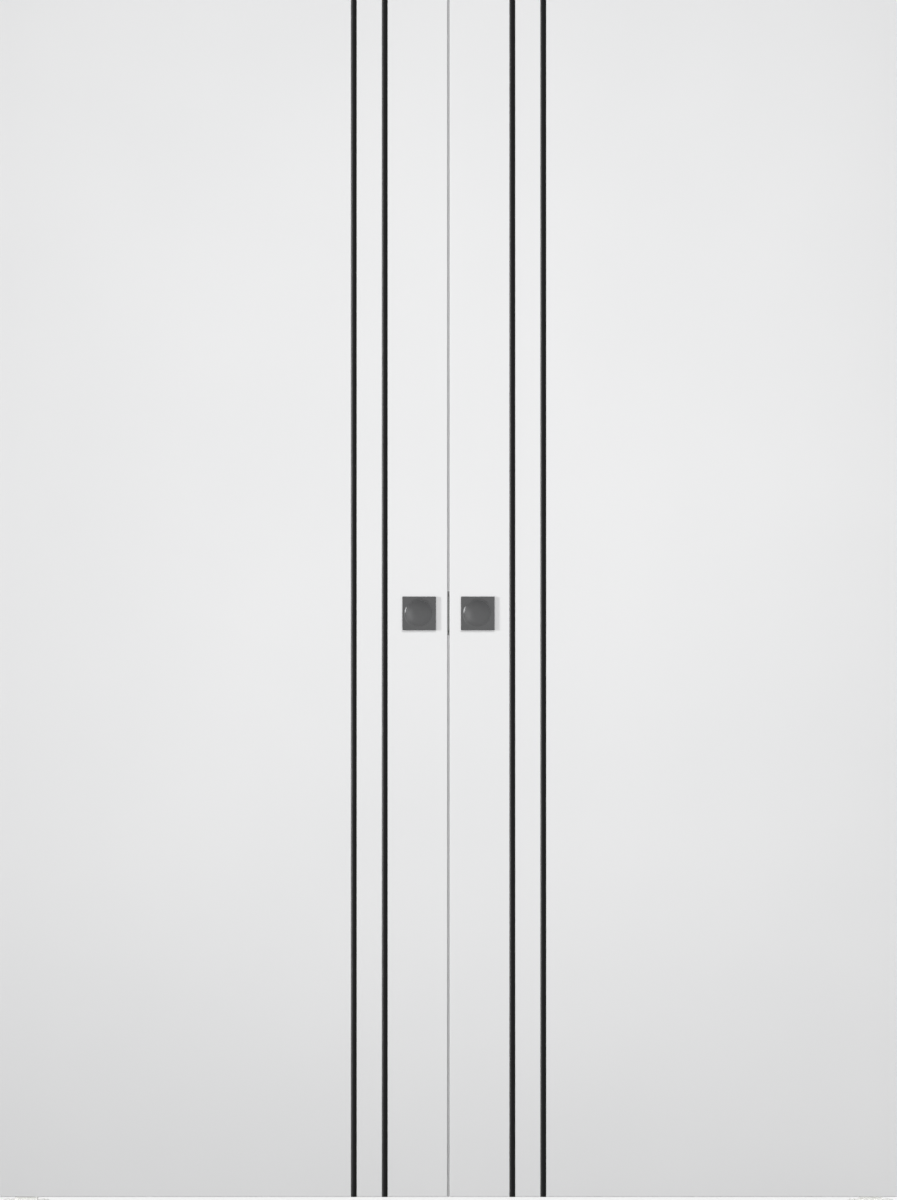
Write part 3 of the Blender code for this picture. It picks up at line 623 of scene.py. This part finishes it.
def makeEdgePull(side, sign):
    node = f"{side}_edge_pull"
    low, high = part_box(node)
    thick, deep, wall = edgePull["plateThick"], edgePull["gripDeep"], edgePull["wall"]
    bm = bmesh.new()
    rectangleBlock(bm, high.y - low.y, high.z - low.z, thick, edgePull["corner"])
    softenEdges(bm, edgesAt(bm, 0), edgePull["edge"])
    plateFront = openFace(bm, 0)
    plateBack = openFace(bm, -thick)

    def slotAt(grow, height, cap=False):
        return slotLoop(bm, edgePull["gripTall"] + 2 * grow, edgePull["gripWide"] + 2 * grow, height, cap)

    hollow = [slotAt(out, -down) for out, down in edgePull["lip"]]
    hollow += [slotAt(-inward, up - deep, cap=up == 0) for inward, up in edgePull["base"]]
    loft(bm, [plateFront, *hollow])
    loft(bm, [plateBack, slotAt(wall, -thick), slotAt(wall, -deep - wall, cap=True)])
    spot = (high.x if sign < 0 else low.x, (low.y + high.y) / 2, (low.z + high.z) / 2)
    where = facing(spot, (-sign, 0, 0))
    bm.transform(where)
    # the finger pull and its screws take the darkened metal: painted shade in the gap between the leaves
    setPiece(bm, f"{side}_finger_pull", f"{side}_leaf", [fingerPlatePaintedShade], [node])
    rise, lift = edgePull["screwRise"], edgePull["screwLift"]
    seats = [where @ Matrix.Translation((0, up * rise, lift)) for up in bothWays]
    addScrews(f"{side}_finger_pull_screws", f"{side}_leaf", edgePull["screw"], seats,
              fingerPlatePaintedShade)


for side, sign in sides.items():
    makeEdgePull(side, sign)
print("finger pulls made")


# Crowned strips inlaid in both faces

inlay = {"crown": 0.0013, "steps": 20, "sharp": 25}


def makeInlay(side, face, place):
    node = f"{side}_{face}_{place}_strip"
    low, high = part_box(node)
    out = faces[face]
    apex, floor = (low.y, high.y) if out < 0 else (high.y, low.y)
    half, crown = (high.x - low.x) / 2, inlay["crown"]
    radius = (half ** 2 + crown ** 2) / (2 * crown)
    bm = bmesh.new()
    edge = bm.verts.new((low.x, apex - out * crown, low.z))
    bmesh.ops.spin(bm, geom=[edge], cent=((low.x + high.x) / 2, apex - out * radius, low.z), axis=(0, 0, 1),
                   angle=-out * 2 * math.asin(half / radius), steps=inlay["steps"])
    bm.verts.new((high.x, floor, low.z))
    bm.verts.new((low.x, floor, low.z))
    drawOut(bm, [bm.faces.new(bm.verts[:])], (0, 0, high.z - low.z))
    piece = setPiece(bm, f"{side}_{face}_{place}_inlay", f"{side}_leaf", [blackInlay], [node],
                     inlay["sharp"])
    litGroups["strips"].objects.link(piece)


for side in sides:
    for face in faces:
        for place in ("inner", "outer"):
            makeInlay(side, face, place)
print("inlaid strips made")


# Soft seals pressed into the meeting edges, above and below the finger pulls

seal = {"blade": 0.00135, "leg": 0.003, "lipSteps": 10, "sharp": 40}


def makeSeal(side, sign, place):
    node = f"{side}_{place}_seal"
    low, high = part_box(node)
    tip, root = (high.x, low.x) if sign < 0 else (low.x, high.x)
    back = tip + sign * seal["blade"]
    middle, lip = (tip + back) / 2, seal["blade"] / 2
    bm = bmesh.new()
    for end, edge in ((-1, low.y), (1, high.y)):
        start = bm.verts.new((back if end < 0 else tip, edge - end * lip, low.z))
        bmesh.ops.spin(bm, geom=[start], cent=(middle, edge - end * lip, low.z), axis=(0, 0, 1),
                       angle=-sign * math.pi, steps=seal["lipSteps"])
    for x, way in ((back, 1), (root, 1), (root, -1), (back, -1)):
        bm.verts.new((x, way * seal["leg"] / 2, low.z))
    drawOut(bm, [bm.faces.new(bm.verts[:])], (0, 0, high.z - low.z))
    setPiece(bm, f"{side}_{place}_meeting_seal", f"{side}_leaf", [greySeal], [node],
             seal["sharp"])


for side, sign in sides.items():
    for place in ("lower", "upper"):
        makeSeal(side, sign, place)
print("seals made")


# Hangers: threaded bolts with their nuts, trolley bodies and the screws of the plates

bolt = {
    "radius": 0.004, "pitch": 0.00125, "thread": 0.00065, "crest": 0.10,  # the crest's share of the pitch
    "flats": 0.013, "hexTall": 0.005, "seat": 0.0003, "chamfer": 0.0006, "chamferSteps": 2, "turns": 28,
}
trolley = {
    "barWide": 0.010, "barTall": 0.011, "bossRadius": 0.009, "turns": 48,
    "edge": 0.0009, "ease": 0.3,  # the edge's middle point, as a share of the edge
}
hangerPlate = {
    "thick": 0.003, "screwInset": 0.0105, "screwSpacing": 0.016, "screwLift": 0.0005,
    "screw": {"radius": 0.0042, "dome": 0.0017, "under": 0.0004, "shank": 0.0022, "reach": 0.0030},
}


def hexBlock(bm, low, high):
    known = set(bm.edges)
    radius = bolt["flats"] / math.sqrt(3)
    bmesh.ops.create_cone(bm, cap_ends=True, segments=6, radius1=radius, radius2=radius, depth=high - low,
                          matrix=Matrix.Translation((0, 0, (low + high) / 2)))
    rims = [e for e in bm.edges if e not in known and liesAt(e, e.verts[0].co.z)]
    softenEdges(bm, rims, bolt["chamfer"], bolt["chamferSteps"])


def threadProfile(low, high):
    crest, root, pitch = bolt["radius"], bolt["radius"] - bolt["thread"], bolt["pitch"]
    crestFrom, crestTo = pitch * (1 - bolt["crest"]) / 2, pitch * (1 + bolt["crest"]) / 2
    points = [(0, low), (root, low)]
    for turn in range(int((high - low) / pitch)):
        foot = low + turn * pitch
        points += [(crest, foot + crestFrom), (crest, foot + crestTo), (root, foot + pitch)]
    return points + [(root, high), (0, high)]


def makeBolt(side, place):
    node = f"{side}_{place}_hanger_bolt"
    low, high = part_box(node)
    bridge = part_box(f"{side}_{place}_hanger_plate")[1].z
    tall, seat = bolt["hexTall"], bolt["seat"]
    under = bridge - hangerPlate["thick"] - seat
    bm = bmesh.new()
    turnPoints(bm, threadProfile(low.z, high.z - tall), bolt["turns"])
    for base in (high.z - tall, bridge + seat, under - tall):
        hexBlock(bm, base, base + tall)
    bmesh.ops.translate(bm, verts=bm.verts[:], vec=((low.x + high.x) / 2, (low.y + high.y) / 2, 0))
    setPiece(bm, f"{side}_{place}_drop_bolt", f"{side}_leaf", [zincPlate], [node])


def makeTrolley(side, place):
    node = f"{side}_{place}_trolley"
    low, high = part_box(node)
    wheelLow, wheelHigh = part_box(f"{side}_{place}_near_wheelset")
    middle = (low + high) / 2
    edge, radius, half = trolley["edge"], trolley["bossRadius"], trolley["barWide"] / 2
    ease = edge * trolley["ease"]
    bm = bmesh.new()
    slotLoop(bm, high.x - low.x, trolley["barTall"], half, cap=True)
    drawOut(bm, bm.faces[:], (0, 0, -2 * half))
    softenEdges(bm, edgesAt(bm, half) + edgesAt(bm, -half), edge)
    turn = Matrix(((0, 1, 0), (0, 0, -1), (-1, 0, 0))).to_4x4()  # the slot's length goes along X
    bm.transform(Matrix.Translation((middle.x, middle.y, (wheelLow.z + wheelHigh.z) / 2)) @ turn)
    boss = bmesh.new()
    reach = (high.z - low.z) / 2
    bossEnd = [(0, reach), (radius - edge, reach), (radius - ease, reach - ease), (radius, reach - edge)]
    turnPoints(boss, mirrored(bossEnd, middle.z), trolley["turns"])
    stamp(bm, boss, Matrix.Translation((middle.x, middle.y, 0)))
    setPiece(bm, f"{side}_{place}_trolley_body", f"{side}_leaf", [zincPlate], [node])


def makePlateScrews(side, place):
    low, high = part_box(f"{side}_{place}_hanger_plate")
    inset, aside = hangerPlate["screwInset"], hangerPlate["screwSpacing"] / 2
    top = low.z + hangerPlate["thick"] + hangerPlate["screwLift"]
    spots = [(x, way * aside, top) for x in (low.x + inset, high.x - inset) for way in bothWays]
    seats = [Matrix.Translation(spot) for spot in spots]
    addScrews(f"{side}_{place}_hanger_screws", f"{side}_leaf", hangerPlate["screw"], seats,
              zincPlate)


for side in sides:
    for place in ("inner", "outer"):
        makeBolt(side, place)
        makeTrolley(side, place)
        makePlateScrews(side, place)
print("hangers made")


# Grooved wheels: nylon tyres on shielded bearings, a pair on each axle

wheel = {
    "middle": 0.0094, "width": 0.008, "rim": 0.0107, "floor": 0.0095, "floorWide": 0.002, "bore": 0.0056,
    "corner": 0.0005, "recess": 0.0004, "innerRace": 0.0009, "outerRace": 0.0006, "shieldSlope": 0.0002,
    "axle": 0.0025, "axleEnd": 0.0015, "axleChamfer": 0.0004, "turns": 56,
}


def makeWheels(side, place):
    node = f"{side}_{place}_wheelset"
    body = f"{side}_{place}_wheels"
    low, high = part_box(node)
    where = facing((low + high) / 2, (0, -1, 0))
    half, bore, axle, turns = wheel["width"] / 2, wheel["bore"], wheel["axle"], wheel["turns"]
    ring = half - wheel["recess"]
    shield = ring - wheel["recess"]
    inner, outer, slope = axle + wheel["innerRace"], bore - wheel["outerRace"], wheel["shieldSlope"]
    tyre = [(bore, half), (wheel["rim"], half), (wheel["floor"], wheel["floorWide"] / 2)]
    bearing = [(axle, ring), (inner, ring), (inner + slope, shield),
               (outer - slope, shield), (outer, ring), (bore, ring)]
    tyres, hubs = bmesh.new(), bmesh.new()
    for way in bothWays:
        turnRing(tyres, mirrored(tyre, way * wheel["middle"]), turns, wheel["corner"])
        turnRing(hubs, mirrored(bearing, way * wheel["middle"]), turns)
    end = (high.y - low.y) / 2
    turnPoints(hubs, mirrored([(0, end), (wheel["axleEnd"], end), (axle, end - wheel["axleChamfer"])]), turns)
    for bm in (tyres, hubs):
        bm.transform(where)
    setPiece(tyres, f"{side}_{place}_tyres", body, [blackNylon], [node])
    setPiece(hubs, f"{side}_{place}_bearings", body, [zincPlate])


for side in sides:
    for place in ("inner_near", "inner_far", "outer_near", "outer_far"):
        makeWheels(side, place)
print("wheels made")


# Track fixings: countersunk screws up through the web, and set screws that hold the end stops

trackScrews = {
    "pitch": 0.300, "count": 10, "web": 0.0026,
    "screw": {"radius": 0.0048, "dome": 0.0001, "under": 0.0022, "shank": 0.0023, "reach": 0.0025},
}
setScrews = {
    "radius": 0.0025, "proud": 0.0003, "length": 0.0075, "spacing": 0.018,
    "socket": 0.001375, "socketDeep": 0.0025, "chamferTo": 0.002, "turns": 24,
}
downward = (0, 0, -1)


def makeTrackScrews():
    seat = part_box("track_rail")[1].z - trackScrews["web"]
    first = -(trackScrews["count"] - 1) * trackScrews["pitch"] / 2
    spots = [(first + index * trackScrews["pitch"], 0, seat) for index in range(trackScrews["count"])]
    seats = [facing(spot, downward) for spot in spots]
    addScrews("track_screws", "head_rail", trackScrews["screw"], seats, zincPlate)


def makeSetScrews(side):
    low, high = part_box(f"{side}_end_stop")
    radius, proud, length = setScrews["radius"], setScrews["proud"], setScrews["length"]
    bm = bmesh.new()
    for way in bothWays:
        screw = bmesh.new()
        bmesh.ops.create_circle(screw, cap_ends=True, segments=6, radius=setScrews["socket"])
        drawOut(screw, screw.faces[:], (0, 0, -setScrews["socketDeep"]))
        socket = openFace(screw, 0)
        known = set(screw.edges)
        turnPoints(screw, [(setScrews["chamferTo"], 0), (radius, -proud), (radius, -length), (0, -length)],
                   setScrews["turns"])
        join(screw, socket, newRim(screw, 0, known))
        spot = ((low.x + high.x) / 2 + way * setScrews["spacing"] / 2, 0, low.z - proud)
        stamp(bm, screw, facing(spot, downward))
    setPiece(bm, f"{side}_stop_set_screws", "head_rail", [zincPlate])


# Rubber buffers with two grooves that let them give

buffer = {
    "radius": 0.006, "length": 0.012, "stem": 0.003, "seat": 0.0003, "tip": 0.0035, "tipSteps": 8,
    "grooves": (0.006, 0.009), "grooveDeep": 0.0006, "turns": 40,
    "grooveMouth": 0.0006, "grooveFloor": 0.0003,  # half of each width
}


def makeBuffer(side, sign):
    node = f"{side}_end_buffer"
    low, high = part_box(node)
    radius, stem, back = buffer["radius"], buffer["stem"], buffer["seat"] - buffer["length"]
    tip, end = low.x if sign > 0 else high.x, low.x - high.x
    points = [(0, 0)]
    for step in range(buffer["tipSteps"]):
        angle = math.pi / 2 * (step + 1) / buffer["tipSteps"]
        points.append((radius * math.sin(angle), buffer["tip"] * (math.cos(angle) - 1)))
    for at in buffer["grooves"]:
        inner, mouth, floor = radius - buffer["grooveDeep"], buffer["grooveMouth"], buffer["grooveFloor"]
        points += [(radius, mouth - at), (inner, floor - at), (inner, -floor - at), (radius, -mouth - at)]
    points += [(radius, back), (stem, back), (stem, end), (0, end)]
    bm = bmesh.new()
    turnPoints(bm, points, buffer["turns"])
    bm.transform(facing((tip, (low.y + high.y) / 2, (low.z + high.z) / 2), (-sign, 0, 0)))
    setPiece(bm, f"{side}_rubber_buffer", "head_rail", [blackRubber], [node])


# Stops in the track: each fills the channel over the running beads and has a tongue down in the slot

tongue = {"top": 0.0041, "width": 0.0104, "lap": 0.001}
stopBlock = {
    "corner": 0.0012, "edge": 0.0009,
    "bore": 0.0033, "boreDeep": 0.0083, "lead": 0.0005, "turns": 40,
}
centreStop = {
    "corner": 0.0016, "edge": 0.0010, "rib": 0.0009, "ribPitch": 0.0040, "ribs": 3,
    "screw": {"radius": 0.0034, "dome": 0.00005, "under": 0.0016, "shank": 0.0015, "reach": 0.0024},
}


def addTongue(bm, low, high, top, edge):
    foot = bmesh.new()
    rectangleBlock(foot, high.x - low.x - 2 * edge, tongue["width"], top + tongue["lap"] - low.z, edge)
    stamp(bm, foot, Matrix.Translation(((low.x + high.x) / 2, 0, top + tongue["lap"])))


def makeStopBlock(side, sign):
    # cast block with a bore for the buffer's stem in its inner end
    node = f"{side}_end_stop"
    low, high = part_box(node)
    stemLow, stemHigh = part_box(f"{side}_end_buffer")
    top = low.z + tongue["top"]
    length, wide, tall, middle = high.x - low.x, high.y - low.y, high.z - top, (high.z + top) / 2
    bore, deep, lead = stopBlock["bore"], stopBlock["boreDeep"], stopBlock["lead"]
    bm = bmesh.new()
    rectangleBlock(bm, wide, tall, length, stopBlock["corner"])
    softenEdges(bm, edgesAt(bm, 0) + edgesAt(bm, -length), stopBlock["edge"])
    innerEnd = openFace(bm, 0)
    known = set(bm.edges)
    hole = turnPoints(bm, [(bore + lead, 0), (bore, -lead), (bore, -deep), (0, -deep)], stopBlock["turns"])
    bmesh.ops.translate(bm, verts=list({vert for face in hole for vert in face.verts}),
                        vec=(0, (stemLow.z + stemHigh.z) / 2 - middle, 0))
    join(bm, innerEnd, newRim(bm, 0, known))
    bm.transform(facing((low.x if sign > 0 else high.x, 0, middle), (-sign, 0, 0)))
    addTongue(bm, low, high, top, stopBlock["edge"])
    setPiece(bm, f"{side}_stop_block", "head_rail", [zincPlate], [node])


def makeCentreStop():
    # rubber moulding, ribbed near the ends that the trolleys meet, with a screw up through its tongue
    low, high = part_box("centre_stop")
    top = low.z + tongue["top"]
    length, wide, tall, rib = high.x - low.x, high.y - low.y, high.z - top, centreStop["rib"]
    bm = bmesh.new()
    rectangleBlock(bm, wide, tall, length, centreStop["corner"])
    softenEdges(bm, edgesAt(bm, 0) + edgesAt(bm, -length), centreStop["edge"])
    for index in range(centreStop["ribs"]):
        at = (index + 1) * centreStop["ribPitch"]
        for end, way in ((0, -1), (-length, 1)):
            # of three cuts across the block, the middle one is pressed in
            for step in (-rib / 2, 0, rib / 2):
                cut = bmesh.ops.bisect_plane(bm, geom=bm.verts[:] + bm.edges[:] + bm.faces[:],
                                             plane_co=(0, 0, end + way * (at + step)),
                                             plane_no=(0, 0, 1))["geom_cut"]
                if step == 0:
                    ring = [item for item in cut if isinstance(item, bmesh.types.BMVert)]
                    bmesh.ops.scale(bm, verts=ring, vec=(1 - rib / wide, 1 - rib / tall, 1))
    bm.transform(facing((high.x, 0, (top + high.z) / 2), (1, 0, 0)))
    addTongue(bm, low, high, top, centreStop["edge"])
    setPiece(bm, "centre_stop_moulding", "head_rail", [blackRubber], ["centre_stop"])
    seats = [facing((0, 0, low.z), downward)]
    addScrews("centre_stop_screw", "head_rail", centreStop["screw"], seats, zincPlate)


# Moulded floor guides with a fin for the groove and two white-headed screws

guide = {
    "base": 0.004, "corner": 0.0075, "cornerSteps": 8, "edge": 0.0012,
    "fin": 0.040, "finWide": 0.0048, "finEdge": 0.0014, "finSteps": 4,
    "screwAside": 0.029, "screwLift": 0.0003,
    "screw": {"radius": 0.0038, "dome": 0.0009, "under": 0.0006, "shank": 0.0020, "reach": 0.0030},
}


def makeGuide(side):
    node = f"{side}_floor_guide"
    low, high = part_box(node)
    middle = (low + high) / 2
    base, group = guide["base"], litGroups["guides"]
    bm = bmesh.new()
    rectangleBlock(bm, high.x - low.x, high.y - low.y, base, guide["corner"], guide["cornerSteps"])
    softenEdges(bm, edgesAt(bm, 0), guide["edge"])
    bmesh.ops.translate(bm, verts=bm.verts[:], vec=(0, 0, base))
    fin = bmesh.new()
    slotLoop(fin, guide["fin"], guide["finWide"], high.z, cap=True)
    drawOut(fin, fin.faces[:], (0, 0, base / 2 - high.z))
    softenEdges(fin, edgesAt(fin, high.z), guide["finEdge"], guide["finSteps"])
    stamp(bm, fin, Matrix.Rotation(math.pi / 2, 4, "Z"))
    bmesh.ops.translate(bm, verts=bm.verts[:], vec=(middle.x, middle.y, low.z))
    piece = setPiece(bm, f"{side}_guide_moulding", "head_rail", [whiteNylon], [node])
    group.objects.link(piece)
    top = low.z + base + guide["screwLift"]
    seats = [Matrix.Translation((middle.x + way * guide["screwAside"], middle.y, top)) for way in bothWays]
    screws = addScrews(f"{side}_guide_screws", "head_rail", guide["screw"], seats, whiteNylon)
    group.objects.link(screws)


makeTrackScrews()
makeCentreStop()
for side, sign in sides.items():
    makeStopBlock(side, sign)
    makeSetScrews(side)
    makeBuffer(side, sign)
    makeGuide(side)
print("track fixings, buffers and guides made")


# Camera square to the leaves: they fill the picture, with a sliver of floor gap below them

shot = {"height": 1200, "gapRows": 3, "croppedRows": 1, "distance": 11.0, "sensor": 36.0, "farthest": 100}


def makeCamera():
    low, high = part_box("left_front_skin")
    row = (high.z - low.z) / (shot["height"] - shot["gapRows"] + shot["croppedRows"])  # what one row shows
    tall = row * shot["height"]
    data = bpy.data.cameras.new("camera")
    data.sensor_width = shot["sensor"]
    data.lens = shot["sensor"] * shot["distance"] / tall  # the sensor spans the picture's taller side
    data.clip_end = shot["farthest"]
    camera = bpy.data.objects.new("camera", data)
    camera.location = (0, low.y - shot["distance"], high.z - shot["croppedRows"] * row - tall / 2)
    camera.rotation_euler = (math.pi / 2, 0, 0)
    scene.collection.objects.link(camera)
    scene.camera = camera


# Plain studio: pale floor, white surround, a soft box in front, four far lamps round the leaves, and
# small lamps that shape the gloss of the pulls and strips and reach the guides under the leaves

white = (1, 1, 1, 1)
studio = {
    "surround": 0.10, "middle": (0, 0, 1.05),
    "floorSize": 60, "floorSeen": 0.30, "floorBounce": 0.08, "floorGlow": 0.58,
    "floorCloud": 0.985, "floorGrain": {"scale": 3, "detail": 3},
    "floorSockets": {"Roughness": 0.9, "Specular IOR Level": 0.1, "Emission Color": white},
}
# a lamp with an angle is a far one, and the others have a size; each faces the middle or its own target
lamps = {
    "softBox": {"power": 10.7, "size": (2.4, 2.5), "place": (0.0, -0.85, 1.34), "target": (0, 0, 1.34),
                "lights": "besideFloor", "skips": "glossy"},
    "topLight": {"power": 1.25, "angle": 12, "place": (0.15, -1.0, 2.30), "skips": "glossy"},
    "sideLight": {"power": 2.25, "angle": 8, "place": (-2.9, -1.0, 1.30), "skips": "glossy"},
    # the soft light edge along the strips
    "leftSheen": {"power": 330, "size": (0.9, 2.4), "place": (-2.6, -2.2, 1.05),
                  "lights": "strips", "skips": "diffuse"},
    # the crescent inside the dishes and the short glint on their edges
    "rightGlow": {"power": 14, "size": (2.4, 3.0), "place": (2.6, -2.0, 1.5), "lights": "pulls"},
    "rimGlint": {"power": 3.2, "size": (0.16, 0.85), "place": (2.10, -0.37, 0.44), "lights": "pulls"},
    # reaches the guides under the leaves
    "guideBox": {"power": 42, "size": (3.0, 1.0), "place": (0.0, -1.0, 1.6), "target": (0, 0, 0),
                 "lights": "guides", "shadedBy": "guides"},
    # along the leaves and from behind
    "edgeLight": {"power": 1.2, "angle": 4, "place": (2.0, 0.0, 1.55), "skips": "glossy"},
    "rearLight": {"power": 3.1, "angle": 30, "place": (0.5, 1.2, 1.95), "skips": "glossy"},
    # the crescent inside the rear dishes
    "rearShine": {"power": 48, "size": (3.2, 2.6), "place": (-1.6, 2.8, 2.2), "lights": "pulls"},
}


def seenRays(holder):
    # 1 for what the camera sees, straight or by gloss or glass, and 0 for the light that bounces
    rays = addNode(holder, "ShaderNodeLightPath").outputs
    seen = rays["Is Camera Ray"]
    for other in ("Is Glossy Ray", "Is Transmission Ray"):
        seen = addNode(holder, "ShaderNodeMath", {0: seen, 1: rays[other]}, operation="MAXIMUM").outputs[0]
    return seen


def makeWorld():
    world = bpy.data.worlds.new("studio")
    world.use_nodes = True
    world.node_tree.nodes.clear()
    lit = addNode(world, "ShaderNodeBackground", {"Color": white, "Strength": studio["surround"]})
    shown = addNode(world, "ShaderNodeBackground", {"Color": white, "Strength": 1})
    mix = addNode(world, "ShaderNodeMixShader", {
        "Fac": seenRays(world), 1: lit.outputs[0], 2: shown.outputs[0],
    })
    addNode(world, "ShaderNodeOutputWorld", {"Surface": mix.outputs[0]})
    scene.world = world


def makeFloor():
    bm = bmesh.new()
    bmesh.ops.create_grid(bm, x_segments=1, y_segments=1, size=studio["floorSize"])
    mesh = bpy.data.meshes.new("floor")
    bm.to_mesh(mesh)
    bm.free()
    finish, shader = newFinish("paleFloor", studio["floorSockets"])
    tone, bounce = studio["floorSeen"], studio["floorBounce"]
    dark = tone * studio["floorCloud"]
    seen = seenRays(finish)
    clouds = tint(finish, grain(finish, **studio["floorGrain"]), [dark] * 3, [tone] * 3)
    mixed = addNode(finish, "ShaderNodeMix", {"Factor": seen, "A": (bounce, bounce, bounce, 1), "B": clouds},
                    data_type="RGBA")
    plug(finish, mixed.outputs["Result"], shader.inputs["Base Color"])
    plug(finish, spread(finish, seen, 0, studio["floorGlow"], 0, 1), shader.inputs["Emission Strength"])
    mesh.materials.append(finish)
    floor = bpy.data.objects.new("floor", mesh)
    scene.collection.objects.link(floor)
    litGroups["besideFloor"].objects.link(floor)
    litGroups["besideFloor"].collection_objects[0].light_linking.link_state = "EXCLUDE"


def addLamp(name, lamp):
    data = bpy.data.lights.new(name, "SUN" if "angle" in lamp else "AREA")
    data.energy = lamp["power"]
    if "angle" in lamp:
        data.angle = math.radians(lamp["angle"])
    else:
        data.shape = "RECTANGLE"
        data.size, data.size_y = lamp["size"]
    light = bpy.data.objects.new(name, data)
    place, target = Vector(lamp["place"]), Vector(lamp.get("target", studio["middle"]))
    light.location = place
    light.rotation_euler = (target - place).to_track_quat("-Z", "Y").to_euler()
    light.visible_camera = False
    if "skips" in lamp:
        setattr(light, f"visible_{lamp['skips']}", False)
    if "lights" in lamp:
        light.light_linking.receiver_collection = litGroups[lamp["lights"]]
    if "shadedBy" in lamp:
        light.light_linking.blocker_collection = litGroups[lamp["shadedBy"]]
    scene.collection.objects.link(light)


makeCamera()
makeWorld()
makeFloor()
for name, lamp in lamps.items():
    addLamp(name, lamp)
scene.view_settings.view_transform = "Standard"
print("studio set")
